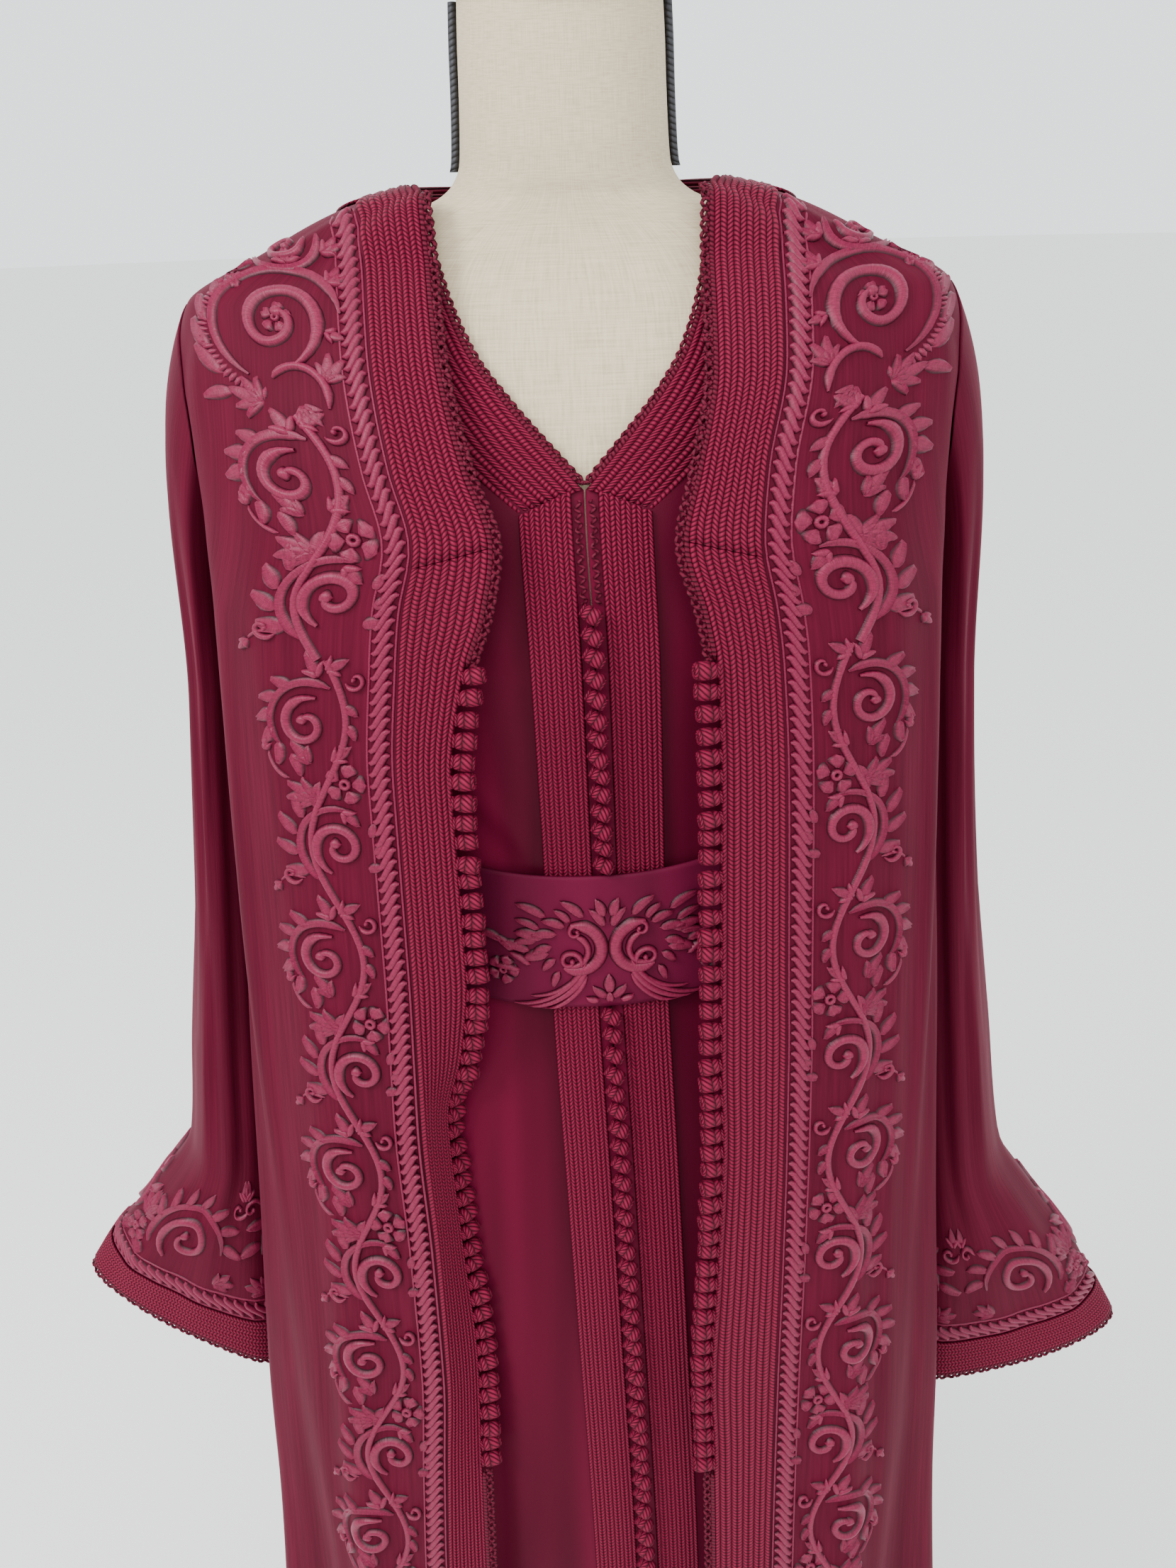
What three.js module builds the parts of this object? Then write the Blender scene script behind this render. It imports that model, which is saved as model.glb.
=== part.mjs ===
// A two-piece Moroccan festive dress (takchita) on a limbless dress form.
// An open caftan with bell sleeves hangs over a closed V-neck dress with a wide belt.
// Millimetres, +Z up. The wearer faces -Y, and the wearer's right arm is at -X.
// The origin is the centre of the stand's foot, on the floor.
import * as THREE from "three";

// Driving sizes
const collarHeight = 1433; // the caftan's neckline at the shoulder seams and the back
const caftanHem = 30;
const dressHem = 24;
const beltBottom = 977;
const beltTop = 1062;
const armpit = 1215;
const shoulderTip = 1377; // where the caftan's sleeve starts on the shoulder ridge
const innerShoulderTip = 1405;
const innerArmpit = 1235;
const clothWall = 1.3;
const bandWall = 2;
const seamGap = 0.3;
const picotWidth = 6;
const knotPitch = 12;

// Cross-sections: height, half width, depth in front of and behind the axis
const columnNames = ["z", "halfWidth", "front", "back"];
const rows = (names, table) =>
  table.map((row) => Object.fromEntries(names.map((name, i) => [name, row[i]])));

const formSections = rows(columnNames, [
  [770, 157, 103, 112],
  [800, 166, 108, 120],
  [850, 170, 110, 122],
  [900, 160, 104, 116],
  [960, 137, 95, 102],
  [1020, 121, 91, 90],
  [1080, 131, 98, 92],
  [1150, 146, 109, 96],
  [1215, 155, 117, 100],
  [1260, 160, 114, 102],
  [1300, 166, 103, 103],
  [1346, 176, 85, 96],
  [1372, 176, 67, 84],
  [1386, 164, 57, 74],
  [1401, 140, 51, 64],
  [1416, 101, 49, 56],
  [1427, 70, 49.5, 55],
  [1434, 62, 51.5, 55],
  [1443, 58, 53, 55.5],
  [1455, 57, 54.5, 56],
  [1480, 56, 55, 56],
  [1502, 55.5, 55, 55.5],
  [1526, 54.5, 54.5, 55],
]);

const innerSections = rows(columnNames, [
  [dressHem, 262, 190, 192],
  [200, 248, 178, 182],
  [457, 224, 160, 164],
  [560, 210, 152, 156],
  [641, 199, 146, 150],
  [760, 191, 138, 144],
  [850, 181, 130, 136],
  [920, 163, 121, 125],
  [beltBottom, 143, 111, 112],
  [1020, 134, 106, 104],
  [beltTop, 140, 109, 104],
  [1120, 152, 116, 106],
  [1190, 161, 124, 108],
  [1240, 166, 122, 109],
  [1300, 171, 109, 110],
  [1346, 183, 91, 102],
  [1376, 186, 71, 92],
  [1396, 168, 60, 77],
  [1405, 150, 58, 71],
  [1419, 119, 56, 64],
  [1428.5, 84, 55.5, 60],
  [1432, 72, 55, 59],
]);

const outerSections = rows(columnNames, [
  [caftanHem, 286, 222, 228],
  [200, 280, 206, 214],
  [457, 272, 180, 192],
  [641, 275, 166, 175],
  [820, 267, 157, 160],
  [1000, 260, 149, 147],
  [1150, 252, 143, 138],
  [1240, 246, 140, 131],
  [1300, 236, 127, 124],
  [1346, 226, 105, 114],
  [1377, 215, 82, 101],
  [1401, 171, 64, 86],
  [1424, 121, 62, 70],
  [1433, 84, 61, 65],
  [1436, 74, 60, 63],
]);

// Front edges: the caftan's open edge and its braid's outer edge, on each side
const edgeNames = ["z", "edge", "braid", "roll"];
// roll is how far the edge turns in towards the body
const rightFrontEdge = rows(edgeNames, [
  [caftanHem, 84, 116, 4],
  [300, 85, 114, 5],
  [569, 83, 108, 5],
  [653, 82, 104, 8],
  [730, 81, 100, 14],
  [821, 87, 101, 19],
  [906, 91, 104, 21],
  [959, 78, 103, 14],
  [1015, 71, 102, 6],
  [1131, 72, 102, 3],
  [1198, 61, 96, 2],
  [1227, 51, 92, 1],
  [1262, 45, 84, 0],
  [1298, 57, 93, 0],
  [1347, 69, 102, 0],
  [1391, 74, 106, 0],
  [collarHeight, 77, 112, 0],
]);
const leftFrontEdge = rows(edgeNames, [
  [caftanHem, 70, 106, 2],
  [300, 71, 107, 3],
  [562, 71, 108, 3],
  [661, 70, 109, 2],
  [724, 68, 110, 1],
  [814, 72, 112, 0],
  [899, 75, 113, 0],
  [953, 74, 113, 0],
  [1010, 74, 112, 0],
  [1126, 74, 110, 0],
  [1194, 72, 106, 0],
  [1223, 67, 102, 0],
  [1260, 57, 95, 0],
  [1295, 65, 98, 0],
  [1343, 75, 109, 0],
  [1387, 76, 111, 0],
  [collarHeight, 77, 112, 0],
]);
const edgeOf = { right: rightFrontEdge, left: leftFrontEdge };
const caftanMitre = 1261;

// The dress's closure line drifts a little to the wearer's left lower down
const closureLine = rows(["z", "x"], [
  [dressHem, 32],
  [552, 26],
  [744, 20],
  [860, 16],
  [1000, 11],
  [1190, 8],
  [1285, 5],
  [1440, 5],
]);
const placketInner = 7; // the knots or the picots fill the middle
const placketOuter = 35;
const veeBottom = 1285;
// Neckline of the dress: distance of the edge and of its braid's outer edge from the closure line
const neckline = rows(["z", "edge", "braid"], [
  [veeBottom, 1, 36],
  [1298, 13, 56],
  [1312, 26, 75],
  [1330, 42, 88],
  [1352, 58, 98],
  [1380, 70, 107],
  [1405, 76, 111],
  [1428.5, 78.5, 112],
]);

// Armholes: how far round each panel reaches, in degrees from the centre front
const outerArmhole = rows(["z", "angle"], [
  [armpit, 89.9],
  [1235, 79],
  [1260, 71],
  [1300, 66],
  [1340, 70],
  [1362, 79],
  [shoulderTip, 89.9],
]);
const innerArmhole = rows(["z", "angle"], [
  [innerArmpit, 89.9],
  [1255, 76],
  [1280, 66],
  [1320, 58],
  [1360, 57],
  [1390, 68],
  [innerShoulderTip, 89.9],
]);

// Folds: angle from the centre front, half breadth in degrees, depth outward at four heights
const foldHeights = [30, 500, 900, 1250];
const foldNames = ["angle", "breadth", "hem", "knee", "hip", "chest"];
const outerFolds = rows(foldNames, [
  [34, 7, 12, 8, 2, 0],
  [48, 8, -16, -10, -5, -2],
  [62, 8, 16, 8, 3, 2],
  [80, 8, -12, -4, 0, 0],
  [100, 8, 12, 4, 0, 0],
  [116, 9, -18, -8, -2, 0],
  [131, 8, 18, 9, 4, 1],
  [146, 8, -18, -10, -5, -2],
  [163, 9, 16, 10, 4, 1],
  [180, 9, -16, -8, -3, 0],
]);
const innerFolds = rows(foldNames, [
  [24, 7, 8, 6, 3, 0],
  [37, 7, -12, -9, -6, 0],
  [51, 8, 12, 7, 4, 0],
  [66, 7, -12, -7, -4, 0],
  [82, 8, 12, 2, 2, 0],
  [98, 8, -12, -4, -2, 0],
  [115, 8, 12, 6, 4, 0],
  [131, 8, -12, -8, -5, 0],
  [147, 8, 12, 8, 4, 0],
  [163, 8, -12, -8, -4, 0],
  [180, 8, 12, 8, 3, 0],
]);
// The caftan's sides are pushed in by the hanging sleeves
const sideHollow = rows(["z", "depth"], [
  [caftanHem, 0],
  [300, 10],
  [457, 36],
  [600, 62],
  [700, 66],
  [820, 66],
  [1000, 65],
  [1150, 63],
  [1215, 60],
  [1260, 46],
  [1300, 22],
  [1346, 2],
  [1377, 0],
]);
const sideHollowAngle = 94;
const sideHollowBreadth = 54;

// Smooth value of a table's column at a height, without overshoot
function valueAt(table, name, z) {
  const last = table.length - 1;
  if (z <= table[0].z) return table[0][name];
  if (z >= table[last].z) return table[last][name];
  let i = 0;
  while (z > table[i + 1].z) i += 1;
  const slope = (k) =>
    (table[k + 1][name] - table[k][name]) / (table[k + 1].z - table[k].z);
  const tangent = (k) => {
    if (k === 0) return slope(0);
    if (k === last) return slope(last - 1);
    const before = slope(k - 1);
    const after = slope(k);
    return before * after <= 0 ? 0 : (2 * before * after) / (before + after);
  };
  const step = table[i + 1].z - table[i].z;
  const t = (z - table[i].z) / step;
  const rise = t * t * (3 - 2 * t);
  return (
    table[i][name] * (1 - rise) +
    table[i + 1][name] * rise +
    step * tangent(i) * t * (1 - t) * (1 - t) -
    step * tangent(i + 1) * t * t * (1 - t)
  );
}

const squareness = 2.25; // 2 is an ellipse, more is squarer
const radians = (degrees) => (degrees * Math.PI) / 180;
const clamp = (value, low, high) => Math.min(high, Math.max(low, value));
const powered = (value) =>
  Math.sign(value) * Math.abs(value) ** (2 / squareness);
const hump = (distance) =>
  Math.abs(distance) >= 1 ? 0 : 0.5 * (1 + Math.cos(Math.PI * distance));

// Outward depth of a fold at a height, between the heights its table names
function foldDepth(fold, z) {
  const depths = [fold.hem, fold.knee, fold.hip, fold.chest];
  const table = foldHeights.map((height, i) => ({ z: height, depth: depths[i] }));
  return valueAt(table, "depth", z);
}

// A surface wrapped round the body: a point for an angle from the centre front and a height
function wrapPoint(sections, folds, hollow, angle, z) {
  const halfWidth = valueAt(sections, "halfWidth", z);
  const turn = radians(angle);
  const depth = valueAt(sections, Math.cos(turn) > 0 ? "front" : "back", z);
  const x = halfWidth * powered(Math.sin(turn));
  const y = -depth * powered(Math.cos(turn));
  const outward = new THREE.Vector2(x / halfWidth ** 2, y / depth ** 2).normalize();
  let push = 0;
  for (const fold of folds)
    push += foldDepth(fold, z) * hump((Math.abs(angle) - fold.angle) / fold.breadth);
  if (hollow)
    push -=
      valueAt(sideHollow, "depth", z) *
      hump((Math.abs(angle) - sideHollowAngle) / sideHollowBreadth);
  return new THREE.Vector3(x + push * outward.x, y + push * outward.y, z);
}

const formPoint = (angle, z) => wrapPoint(formSections, [], false, angle, z);
const innerPoint = (angle, z) => {
  // folds fade out towards the belt, from above and below
  const drawnIn = clamp(Math.abs(z - 1020) / 160, 0, 1);
  const faded = innerFolds.map((fold) => ({ ...fold, chest: 0, hip: fold.hip * drawnIn }));
  return wrapPoint(innerSections, faded, false, angle, z);
};
const outerPoint = (angle, z) => wrapPoint(outerSections, outerFolds, true, angle, z);

// The angle at which a plain section reaches a distance from the middle
function angleAt(sections, distance, z) {
  const share = clamp(Math.abs(distance) / valueAt(sections, "halfWidth", z), 0, 1);
  const angle = (Math.asin(share ** (squareness / 2)) * 180) / Math.PI;
  return Math.sign(distance) * Math.min(angle, 89.9);
}

// Outward unit normal of a surface of angle and height
function normalOf(surface, angle, z) {
  const low = surface(angle, z - 1);
  const high = surface(angle, z + 1);
  const before = surface(angle - 0.5, z);
  const after = surface(angle + 0.5, z);
  return after.sub(before).cross(high.sub(low)).normalize();
}

// Closes two matching grids of points, outer and inner, into one solid wall
function wallGeometry(outer, inner, around) {
  const rowCount = outer.length;
  const columnCount = outer[0].length;
  const points = [...outer.flat(), ...inner.flat()];
  const index = (layer, row, column) =>
    layer * rowCount * columnCount + row * columnCount + (column % columnCount);
  const triangles = [];
  const quad = (a, b, c, d) => triangles.push(a, b, c, a, c, d);
  const spans = around ? columnCount : columnCount - 1;
  for (let r = 0; r + 1 < rowCount; r += 1)
    for (let c = 0; c < spans; c += 1) {
      quad(index(0, r, c), index(0, r, c + 1), index(0, r + 1, c + 1), index(0, r + 1, c));
      quad(index(1, r, c), index(1, r + 1, c), index(1, r + 1, c + 1), index(1, r, c + 1));
    }
  for (let c = 0; c < spans; c += 1) {
    const top = rowCount - 1;
    quad(index(0, 0, c), index(1, 0, c), index(1, 0, c + 1), index(0, 0, c + 1));
    quad(index(0, top, c), index(0, top, c + 1), index(1, top, c + 1), index(1, top, c));
  }
  if (!around)
    for (let r = 0; r + 1 < rowCount; r += 1) {
      const end = columnCount - 1;
      quad(index(0, r, 0), index(0, r + 1, 0), index(1, r + 1, 0), index(1, r, 0));
      quad(index(0, r, end), index(1, r, end), index(1, r + 1, end), index(0, r + 1, end));
    }
  return closedGeometry(points, triangles);
}

// A solid through closed rings of equal count, with flat ends
function loftGeometry(rings) {
  const count = rings[0].length;
  const points = rings.flat();
  const triangles = [];
  for (let r = 0; r + 1 < rings.length; r += 1)
    for (let c = 0; c < count; c += 1) {
      const a = r * count + c;
      const b = r * count + ((c + 1) % count);
      triangles.push(a, b, b + count, a, b + count, a + count);
    }
  for (let c = 1; c + 1 < count; c += 1) {
    const top = (rings.length - 1) * count;
    triangles.push(0, c + 1, c, top, top + c, top + c + 1);
  }
  return closedGeometry(points, triangles);
}

// Makes the geometry and turns its faces outward where they point in
function closedGeometry(points, triangles) {
  let volume = 0;
  for (let i = 0; i < triangles.length; i += 3) {
    const [a, b, c] = [0, 1, 2].map((k) => points[triangles[i + k]]);
    volume += a.dot(new THREE.Vector3().crossVectors(b, c));
  }
  if (volume < 0) triangles.reverse();
  const geometry = new THREE.BufferGeometry();
  const flat = points.flatMap((p) => [p.x, p.y, p.z]);
  geometry.setAttribute("position", new THREE.Float32BufferAttribute(flat, 3));
  geometry.setIndex(triangles);
  geometry.computeVertexNormals();
  return geometry;
}

const materialOf = {
  crepe: new THREE.MeshStandardMaterial({ color: 0x7f2c46, roughness: 0.75 }),
  satin: new THREE.MeshStandardMaterial({ color: 0x7a2644, roughness: 0.5 }),
  braid: new THREE.MeshStandardMaterial({ color: 0x8e2447, roughness: 0.6 }),
  linen: new THREE.MeshStandardMaterial({ color: 0xd9cdb8, roughness: 0.9 }),
  darkWood: new THREE.MeshStandardMaterial({ color: 0x1d1715, roughness: 0.4 }),
  trim: new THREE.MeshStandardMaterial({ color: 0x1b1b20, roughness: 0.8 }),
};

const takchita = new THREE.Group();
function add(name, geometry, material) {
  const mesh = new THREE.Mesh(geometry, materialOf[material]);
  mesh.name = name;
  takchita.add(mesh);
}

// Where a wall's two faces lie, measured outward from the surface it is laid on
const onSurface = { out: 0, in: -clothWall };
const onPanel = { out: seamGap + bandWall, in: seamGap };

// A grid of angle and height pairs, laid on a surface as a wall
function layWall(surface, grid, depth, around = false) {
  const lay = (offset) =>
    grid.map((row) =>
      row.map(({ angle, z, shift }) => {
        const point = surface(angle, z);
        if (shift) point.add(shift);
        return point.addScaledVector(normalOf(surface, angle, z), offset);
      }),
    );
  return wallGeometry(lay(depth.out), lay(depth.in), around);
}

// Dress form: torso and neck, cap, pole, foot and the cord along each side of the neck
const formTop = 1526;
const neckSlant = 0.12; // the neck's top leans forward
const formLevels = [
  770, 800, 850, 900, 960, 1020, 1080, 1150, 1215, 1260, 1300, 1346, 1372, 1386,
  1401, 1416, 1427, 1434, 1443, 1460, formTop,
];
const ringSteps = 24;
const ringAngles = Array.from({ length: ringSteps }, (_, i) => (i * 360) / ringSteps - 180);
const slanted = (point) => {
  const share = clamp((point.z - 1443) / (formTop - 1443), 0, 1);
  return point.setZ(point.z + share * point.y * neckSlant);
};
add(
  "form_torso",
  loftGeometry(formLevels.map((z) => ringAngles.map((a) => slanted(formPoint(a, z))))),
  "linen",
);

const capSteps = 20;
const turned = (profile) => {
  const [first, ...others] = profile;
  return new THREE.LatheGeometry(
    [first, ...others].map(([radius, z]) => new THREE.Vector2(radius, z)),
    capSteps,
  ).rotateX(Math.PI / 2);
};
const capProfile = [
  [0, 0], [58, 0], [60, 4], [58, 10], [40, 17], [16, 21],
  [10, 26], [15, 36], [13, 46], [0, 52],
];
add(
  "form_cap",
  turned(capProfile)
    .rotateX(Math.atan(neckSlant))
    .translate(0, 0, formTop + seamGap),
  "darkWood",
);
const footRadius = 165;
const footProfile = [[0, 0], [footRadius, 0], [footRadius, 14], [150, 22], [34, 34], [24, 60], [0, 60]];
add("stand_foot", turned(footProfile), "darkWood");
const poleRadius = 16;
const poleProfile = [[0, 60 + seamGap], [poleRadius, 60 + seamGap], [poleRadius, 770 - seamGap], [0, 770 - seamGap]];
add("stand_pole", turned(poleProfile), "darkWood");

const cordRadius = 2.6;
const cordLevels = [formTop - 4, 1500, 1480, 1462, 1452, 1444];
function neckCord(side) {
  const rings = cordLevels.map((z) => {
    const angle = side * 90;
    const out = normalOf(formPoint, angle, z);
    const centre = formPoint(angle, z).addScaledVector(out, cordRadius + 0.5);
    const along = new THREE.Vector3(0, 1, 0);
    return Array.from({ length: 8 }, (_, i) => {
      const turn = (i * Math.PI) / 4;
      return centre
        .clone()
        .addScaledVector(out, cordRadius * Math.cos(turn))
        .addScaledVector(along, cordRadius * Math.sin(turn));
    });
  });
  return loftGeometry(rings);
}
add("form_cord_right", neckCord(-1), "trim");
add("form_cord_left", neckCord(1), "trim");

// Dress: front panels from the closure line or the neckline to the side seam or armhole
const innerLevels = [
  dressHem, 160, 310, 457, 580, 700, 800, 880, beltBottom, beltTop, 1115, 1170,
  innerArmpit, 1262, veeBottom, 1298, 1312, 1330, 1352, 1378, 1392, innerShoulderTip,
  1416, 1427.5,
];
const closureGap = 0.4;
const seamAngle = 0.1; // half the gap at a side or shoulder seam, in degrees
function innerEdges(side, z) {
  const middle = valueAt(closureLine, "x", z);
  const open = z >= veeBottom;
  const edge = open ? valueAt(neckline, "edge", z) : closureGap;
  const braid = open ? valueAt(neckline, "braid", z) : placketOuter;
  const inside = open ? edge + (braid - edge) / 3 : placketInner;
  const rise = clamp((z - 1330) / 100, 0, 1); // the neckline is even about the middle at the top
  return [edge, inside, (inside + braid) / 2, braid].map((d) =>
    angleAt(innerSections, middle * (1 - rise) + side * d, z),
  );
}
const armholeAngle = (armhole, low, high, z) =>
  z <= low || z >= high ? 90 - seamAngle : valueAt(armhole, "angle", z);
// Columns draw in towards an armhole, most of all the ones next to it
const drawnAngle = (start, full, end, share) =>
  start + (full - start) * share - (full - end) * share * share;
function panelRow(side, edges, end, spans, z) {
  const start = edges[edges.length - 1];
  const rest = Array.from({ length: spans }, (_, i) =>
    drawnAngle(start, side * (90 - seamAngle), end, (i + 1) / spans),
  );
  return [...edges, ...rest].map((angle) => ({ angle, z }));
}
const sides = { right: -1, left: 1 };
// The part of a grid between two heights and two columns
const cutOut = (grid, low, high, first, end) =>
  grid.filter((row) => row[0].z >= low && row[0].z <= high).map((row) => row.slice(first, end));
// The same grid with its top row a little lower, clear of the piece above it
const lowered = (grid) =>
  grid.map((row, i) => (i < grid.length - 1 ? row : row.map((p) => ({ ...p, z: p.z - 0.4 }))));
// A mitre slopes: its row drops towards the braid's outer edge and is level again beyond it
const sloped = (row, drops) => row.map((p, i) => ({ ...p, z: p.z - (drops[i] ?? 0) }));
const dressMitreDrops = [0, 2.4, 7, 12, 5];
const caftanMitreDrops = [0, 5, 10, 4];
const innerFrontSpans = 5;
const dressGrids = {};
for (const [name, side] of Object.entries(sides)) {
  const grid = innerLevels.map((z) => {
    const edges = innerEdges(side, z);
    const end = side * armholeAngle(innerArmhole, innerArmpit, innerShoulderTip, z);
    return sloped(panelRow(side, edges, end, innerFrontSpans, z), z === veeBottom ? dressMitreDrops : []);
  });
  dressGrids[name] = grid;
  add(`dress_front_${name}`, layWall(innerPoint, grid, onSurface), "satin");
  // the neck braid ends and the placket braid starts at the mitre below the vee
  const placket = lowered(cutOut(grid, 0, veeBottom, 1, 4));
  add(`dress_placket_${name}`, layWall(innerPoint, placket, onPanel), "braid");
  const neck = cutOut(grid, veeBottom, 1500, 0, 4);
  add(`dress_neckbraid_${name}`, layWall(innerPoint, neck, onPanel), "braid");
}

// Back panels, one piece, from side to side; the rows dip towards the centre back at the neck
const wrapAngle = (angle) => (angle > 180 ? angle - 360 : angle);
function backGrid(levels, reach, spans) {
  return levels.map(({ seam, centre }) =>
    Array.from({ length: 2 * spans + 1 }, (_, i) => {
      const share = Math.abs(i - spans) / spans;
      const angle =
        180 + Math.sign(i - spans) * drawnAngle(0, 90 - seamAngle, reach(seam), share);
      const across = Math.abs(Math.cos(radians(angle))) ** 0.7;
      return { angle: wrapAngle(angle), z: seam + (centre - seam) * across };
    }),
  );
}
const level = (z) => ({ seam: z, centre: z });
const dip = (seam, centre) => ({ seam, centre });
const innerBack = backGrid(
  [
    ...[dressHem, 160, 310, 457, 580, 700, 800, 880, beltBottom, beltTop, 1130].map(level),
    ...[1190, innerArmpit, 1270, 1310, 1346, 1378, 1392].map(level),
    dip(innerShoulderTip, 1400),
    dip(1420.5, 1407),
    dip(1424, 1417),
    level(1427.5),
  ],
  (z) => armholeAngle(innerArmhole, innerArmpit, innerShoulderTip, z),
  7,
);
add("dress_back", layWall(innerPoint, innerBack, onSurface), "satin");
add("dress_neckbraid_back", layWall(innerPoint, innerBack.slice(-3), onPanel), "braid");

// Belt: a stiff strip round the waist whose ends overlap at the back
const beltLevels = [beltBottom, 1020, beltTop];
const beltWall = 2.4;
const beltSteps = 36;
const beltLap = 14; // degrees that the ends overlap
const beltRise = 12; // the belt rides up from its front towards the sides
const beltDip = 55; // degrees from the middle over which it does
const beltLift = 4.2;
function beltPoint(angle, z) {
  const share = (z - beltBottom) / (beltTop - beltBottom);
  const halfWidth = 147 - 3 * share;
  const depth = Math.cos(radians(angle)) > 0 ? 114.4 - 2 * share : 115.5 - 8 * share;
  return new THREE.Vector3(
    halfWidth * powered(Math.sin(radians(angle))),
    -depth * powered(Math.cos(radians(angle))),
    z + beltRise * (1 - hump(angle / beltDip)),
  );
}
function beltRing(z, offset) {
  return Array.from({ length: beltSteps + 1 }, (_, i) => {
    const angle = -180 - beltLap / 2 + ((360 + beltLap) * i) / beltSteps;
    const lift = beltLift * clamp((angle - 130) / 30, 0, 1);
    const point = beltPoint(angle, z);
    return point.addScaledVector(normalOf(beltPoint, angle, z), offset + lift);
  });
}
add(
  "belt",
  wallGeometry(
    beltLevels.map((z) => beltRing(z, beltWall)),
    beltLevels.map((z) => beltRing(z, 0)),
    false,
  ),
  "satin",
);

// Caftan: open front panels, back, and the braid along the fronts and the neck
const outerLevels = [
  caftanHem, 170, 310, 450, 569, 653, 730, 821, 906, 959, 1015, 1070, 1131, armpit,
  1237, caftanMitre, 1298, 1325, 1350, 1366, shoulderTip, 1390, 1401, 1413, 1424, 1431.5,
];
const outerFrontSpans = 6;
const braidRoll = [1, 0.55, 0.06]; // share of the roll at the edge, middle and outer edge
function outerFrontRow(name, z) {
  const side = sides[name];
  const edge = valueAt(edgeOf[name], "edge", z);
  const braid = valueAt(edgeOf[name], "braid", z);
  const edges = [edge, (edge + braid) / 2, braid].map((d) => angleAt(outerSections, side * d, z));
  const end = side * armholeAngle(outerArmhole, armpit, shoulderTip, z);
  const roll = valueAt(edgeOf[name], "roll", z);
  const row = panelRow(side, edges, end, outerFrontSpans, z);
  return sloped(row, z === caftanMitre ? caftanMitreDrops : []).map((p, i) => ({
    ...p,
    shift: new THREE.Vector3(0, roll * (braidRoll[i] ?? 0), 0),
  }));
}
for (const name of Object.keys(sides)) {
  const grid = outerLevels.map((z) => outerFrontRow(name, z));
  add(`caftan_front_${name}`, layWall(outerPoint, grid, onSurface), "crepe");
  const front = lowered(cutOut(grid, 0, caftanMitre, 0, 3));
  add(`caftan_frontbraid_${name}`, layWall(outerPoint, front, onPanel), "braid");
  const neck = cutOut(grid, caftanMitre, 1500, 0, 3);
  add(`caftan_neckbraid_${name}`, layWall(outerPoint, neck, onPanel), "braid");
}
const outerBack = backGrid(
  [
    ...[caftanHem, 170, 310, 450, 569, 700, 821, 930, 1040, 1131].map(level),
    ...[armpit, 1237, 1262, 1298, 1325, 1350, 1366, shoulderTip, 1390].map(level),
    dip(1405, 1399),
    dip(1424.5, 1409),
    dip(1428, 1420),
    level(1431.5),
  ],
  (z) => armholeAngle(outerArmhole, armpit, shoulderTip, z),
  9,
);
add("caftan_back", layWall(outerPoint, outerBack, onSurface), "crepe");
add("caftan_neckbraid_back", layWall(outerPoint, outerBack.slice(-3), onPanel), "braid");

// Sleeves: from the armhole round the shoulder, then hanging rings that flare to the cuff
const sleeveNames = ["z", "out", "back", "halfWidth", "halfDepth", "tilt"];
// out is the ring's centre from the middle, tilt how much higher its outer side is
const rightSleeve = rows(sleeveNames, [
  [664, 303, 8, 72, 41, 38],
  [695, 294, 10, 66, 50, 29],
  [729, 283, 11, 57, 58, 18],
  [765, 271, 12, 47, 62, 8],
  [820, 254, 12, 32, 62, 1],
  [900, 247, 12, 28, 58, 0],
  [1000, 238, 11, 23.5, 55, 0],
  [1082, 231, 9, 21.5, 54, 0],
  [1150, 225, 7, 20, 54, 0],
]);
const leftSleeve = rows(sleeveNames, [
  [610, 307, 10, 82, 42, 14],
  [645, 299, 11, 74, 49, 10],
  [685, 289, 11, 65, 58, 7],
  [736, 272, 12, 49, 68, 2],
  [795, 254, 12, 33, 64, 0],
  [900, 244, 12, 27.5, 58, 0],
  [1000, 235.5, 11, 23.5, 55, 0],
  [1082, 229.5, 9, 21, 54, 0],
  [1150, 225, 7, 20, 54, 0],
]);
const sleeveOf = { right: rightSleeve, left: leftSleeve };
const sleeveTop = 1150; // the highest level ring; above it the sleeve rises to the armhole
const seamClear = 1.5;

// Towards the hem the sleeve lies flatter, widest nearer the body than the ring's centre
const foldTop = 830;
const widestShare = -0.6; // of the half width
function flatterDepth(across, halfDepth) {
  const reach = across < widestShare ? 1 + widestShare : 1 - widestShare;
  return halfDepth * Math.sqrt(Math.max(0, 1 - ((across - widestShare) / reach) ** 2));
}
// Angle 0 is the outer side; the ring runs to the front on the right arm, to the back on the left
function sleeveRing(name, angle, z) {
  const side = sides[name];
  const table = sleeveOf[name];
  const [across, around] = [Math.cos(radians(angle)), Math.sin(radians(angle))];
  const halfDepth = valueAt(table, "halfDepth", z);
  const fold = clamp((foldTop - z) / (foldTop - table[0].z), 0, 1);
  const round = halfDepth * Math.abs(around);
  const depth = Math.sign(around) * (round * (1 - fold) + flatterDepth(across, halfDepth) * fold);
  return new THREE.Vector3(
    side * (valueAt(table, "out", z) + valueAt(table, "halfWidth", z) * across),
    valueAt(table, "back", z) + side * depth,
    z + valueAt(table, "tilt", z) * across,
  );
}
function armholePoint(name, angle) {
  const side = sides[name];
  const drop = (1 - Math.cos(radians(angle))) / 2;
  const z = shoulderTip - seamClear - (shoulderTip - armpit - 2 * seamClear) * drop;
  const reach = valueAt(outerArmhole, "angle", z);
  const isBack = side * Math.sin(radians(angle)) > 0;
  const point = outerPoint(side * (isBack ? 180 - reach : reach), z);
  point.x += side * seamClear;
  return point;
}
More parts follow.
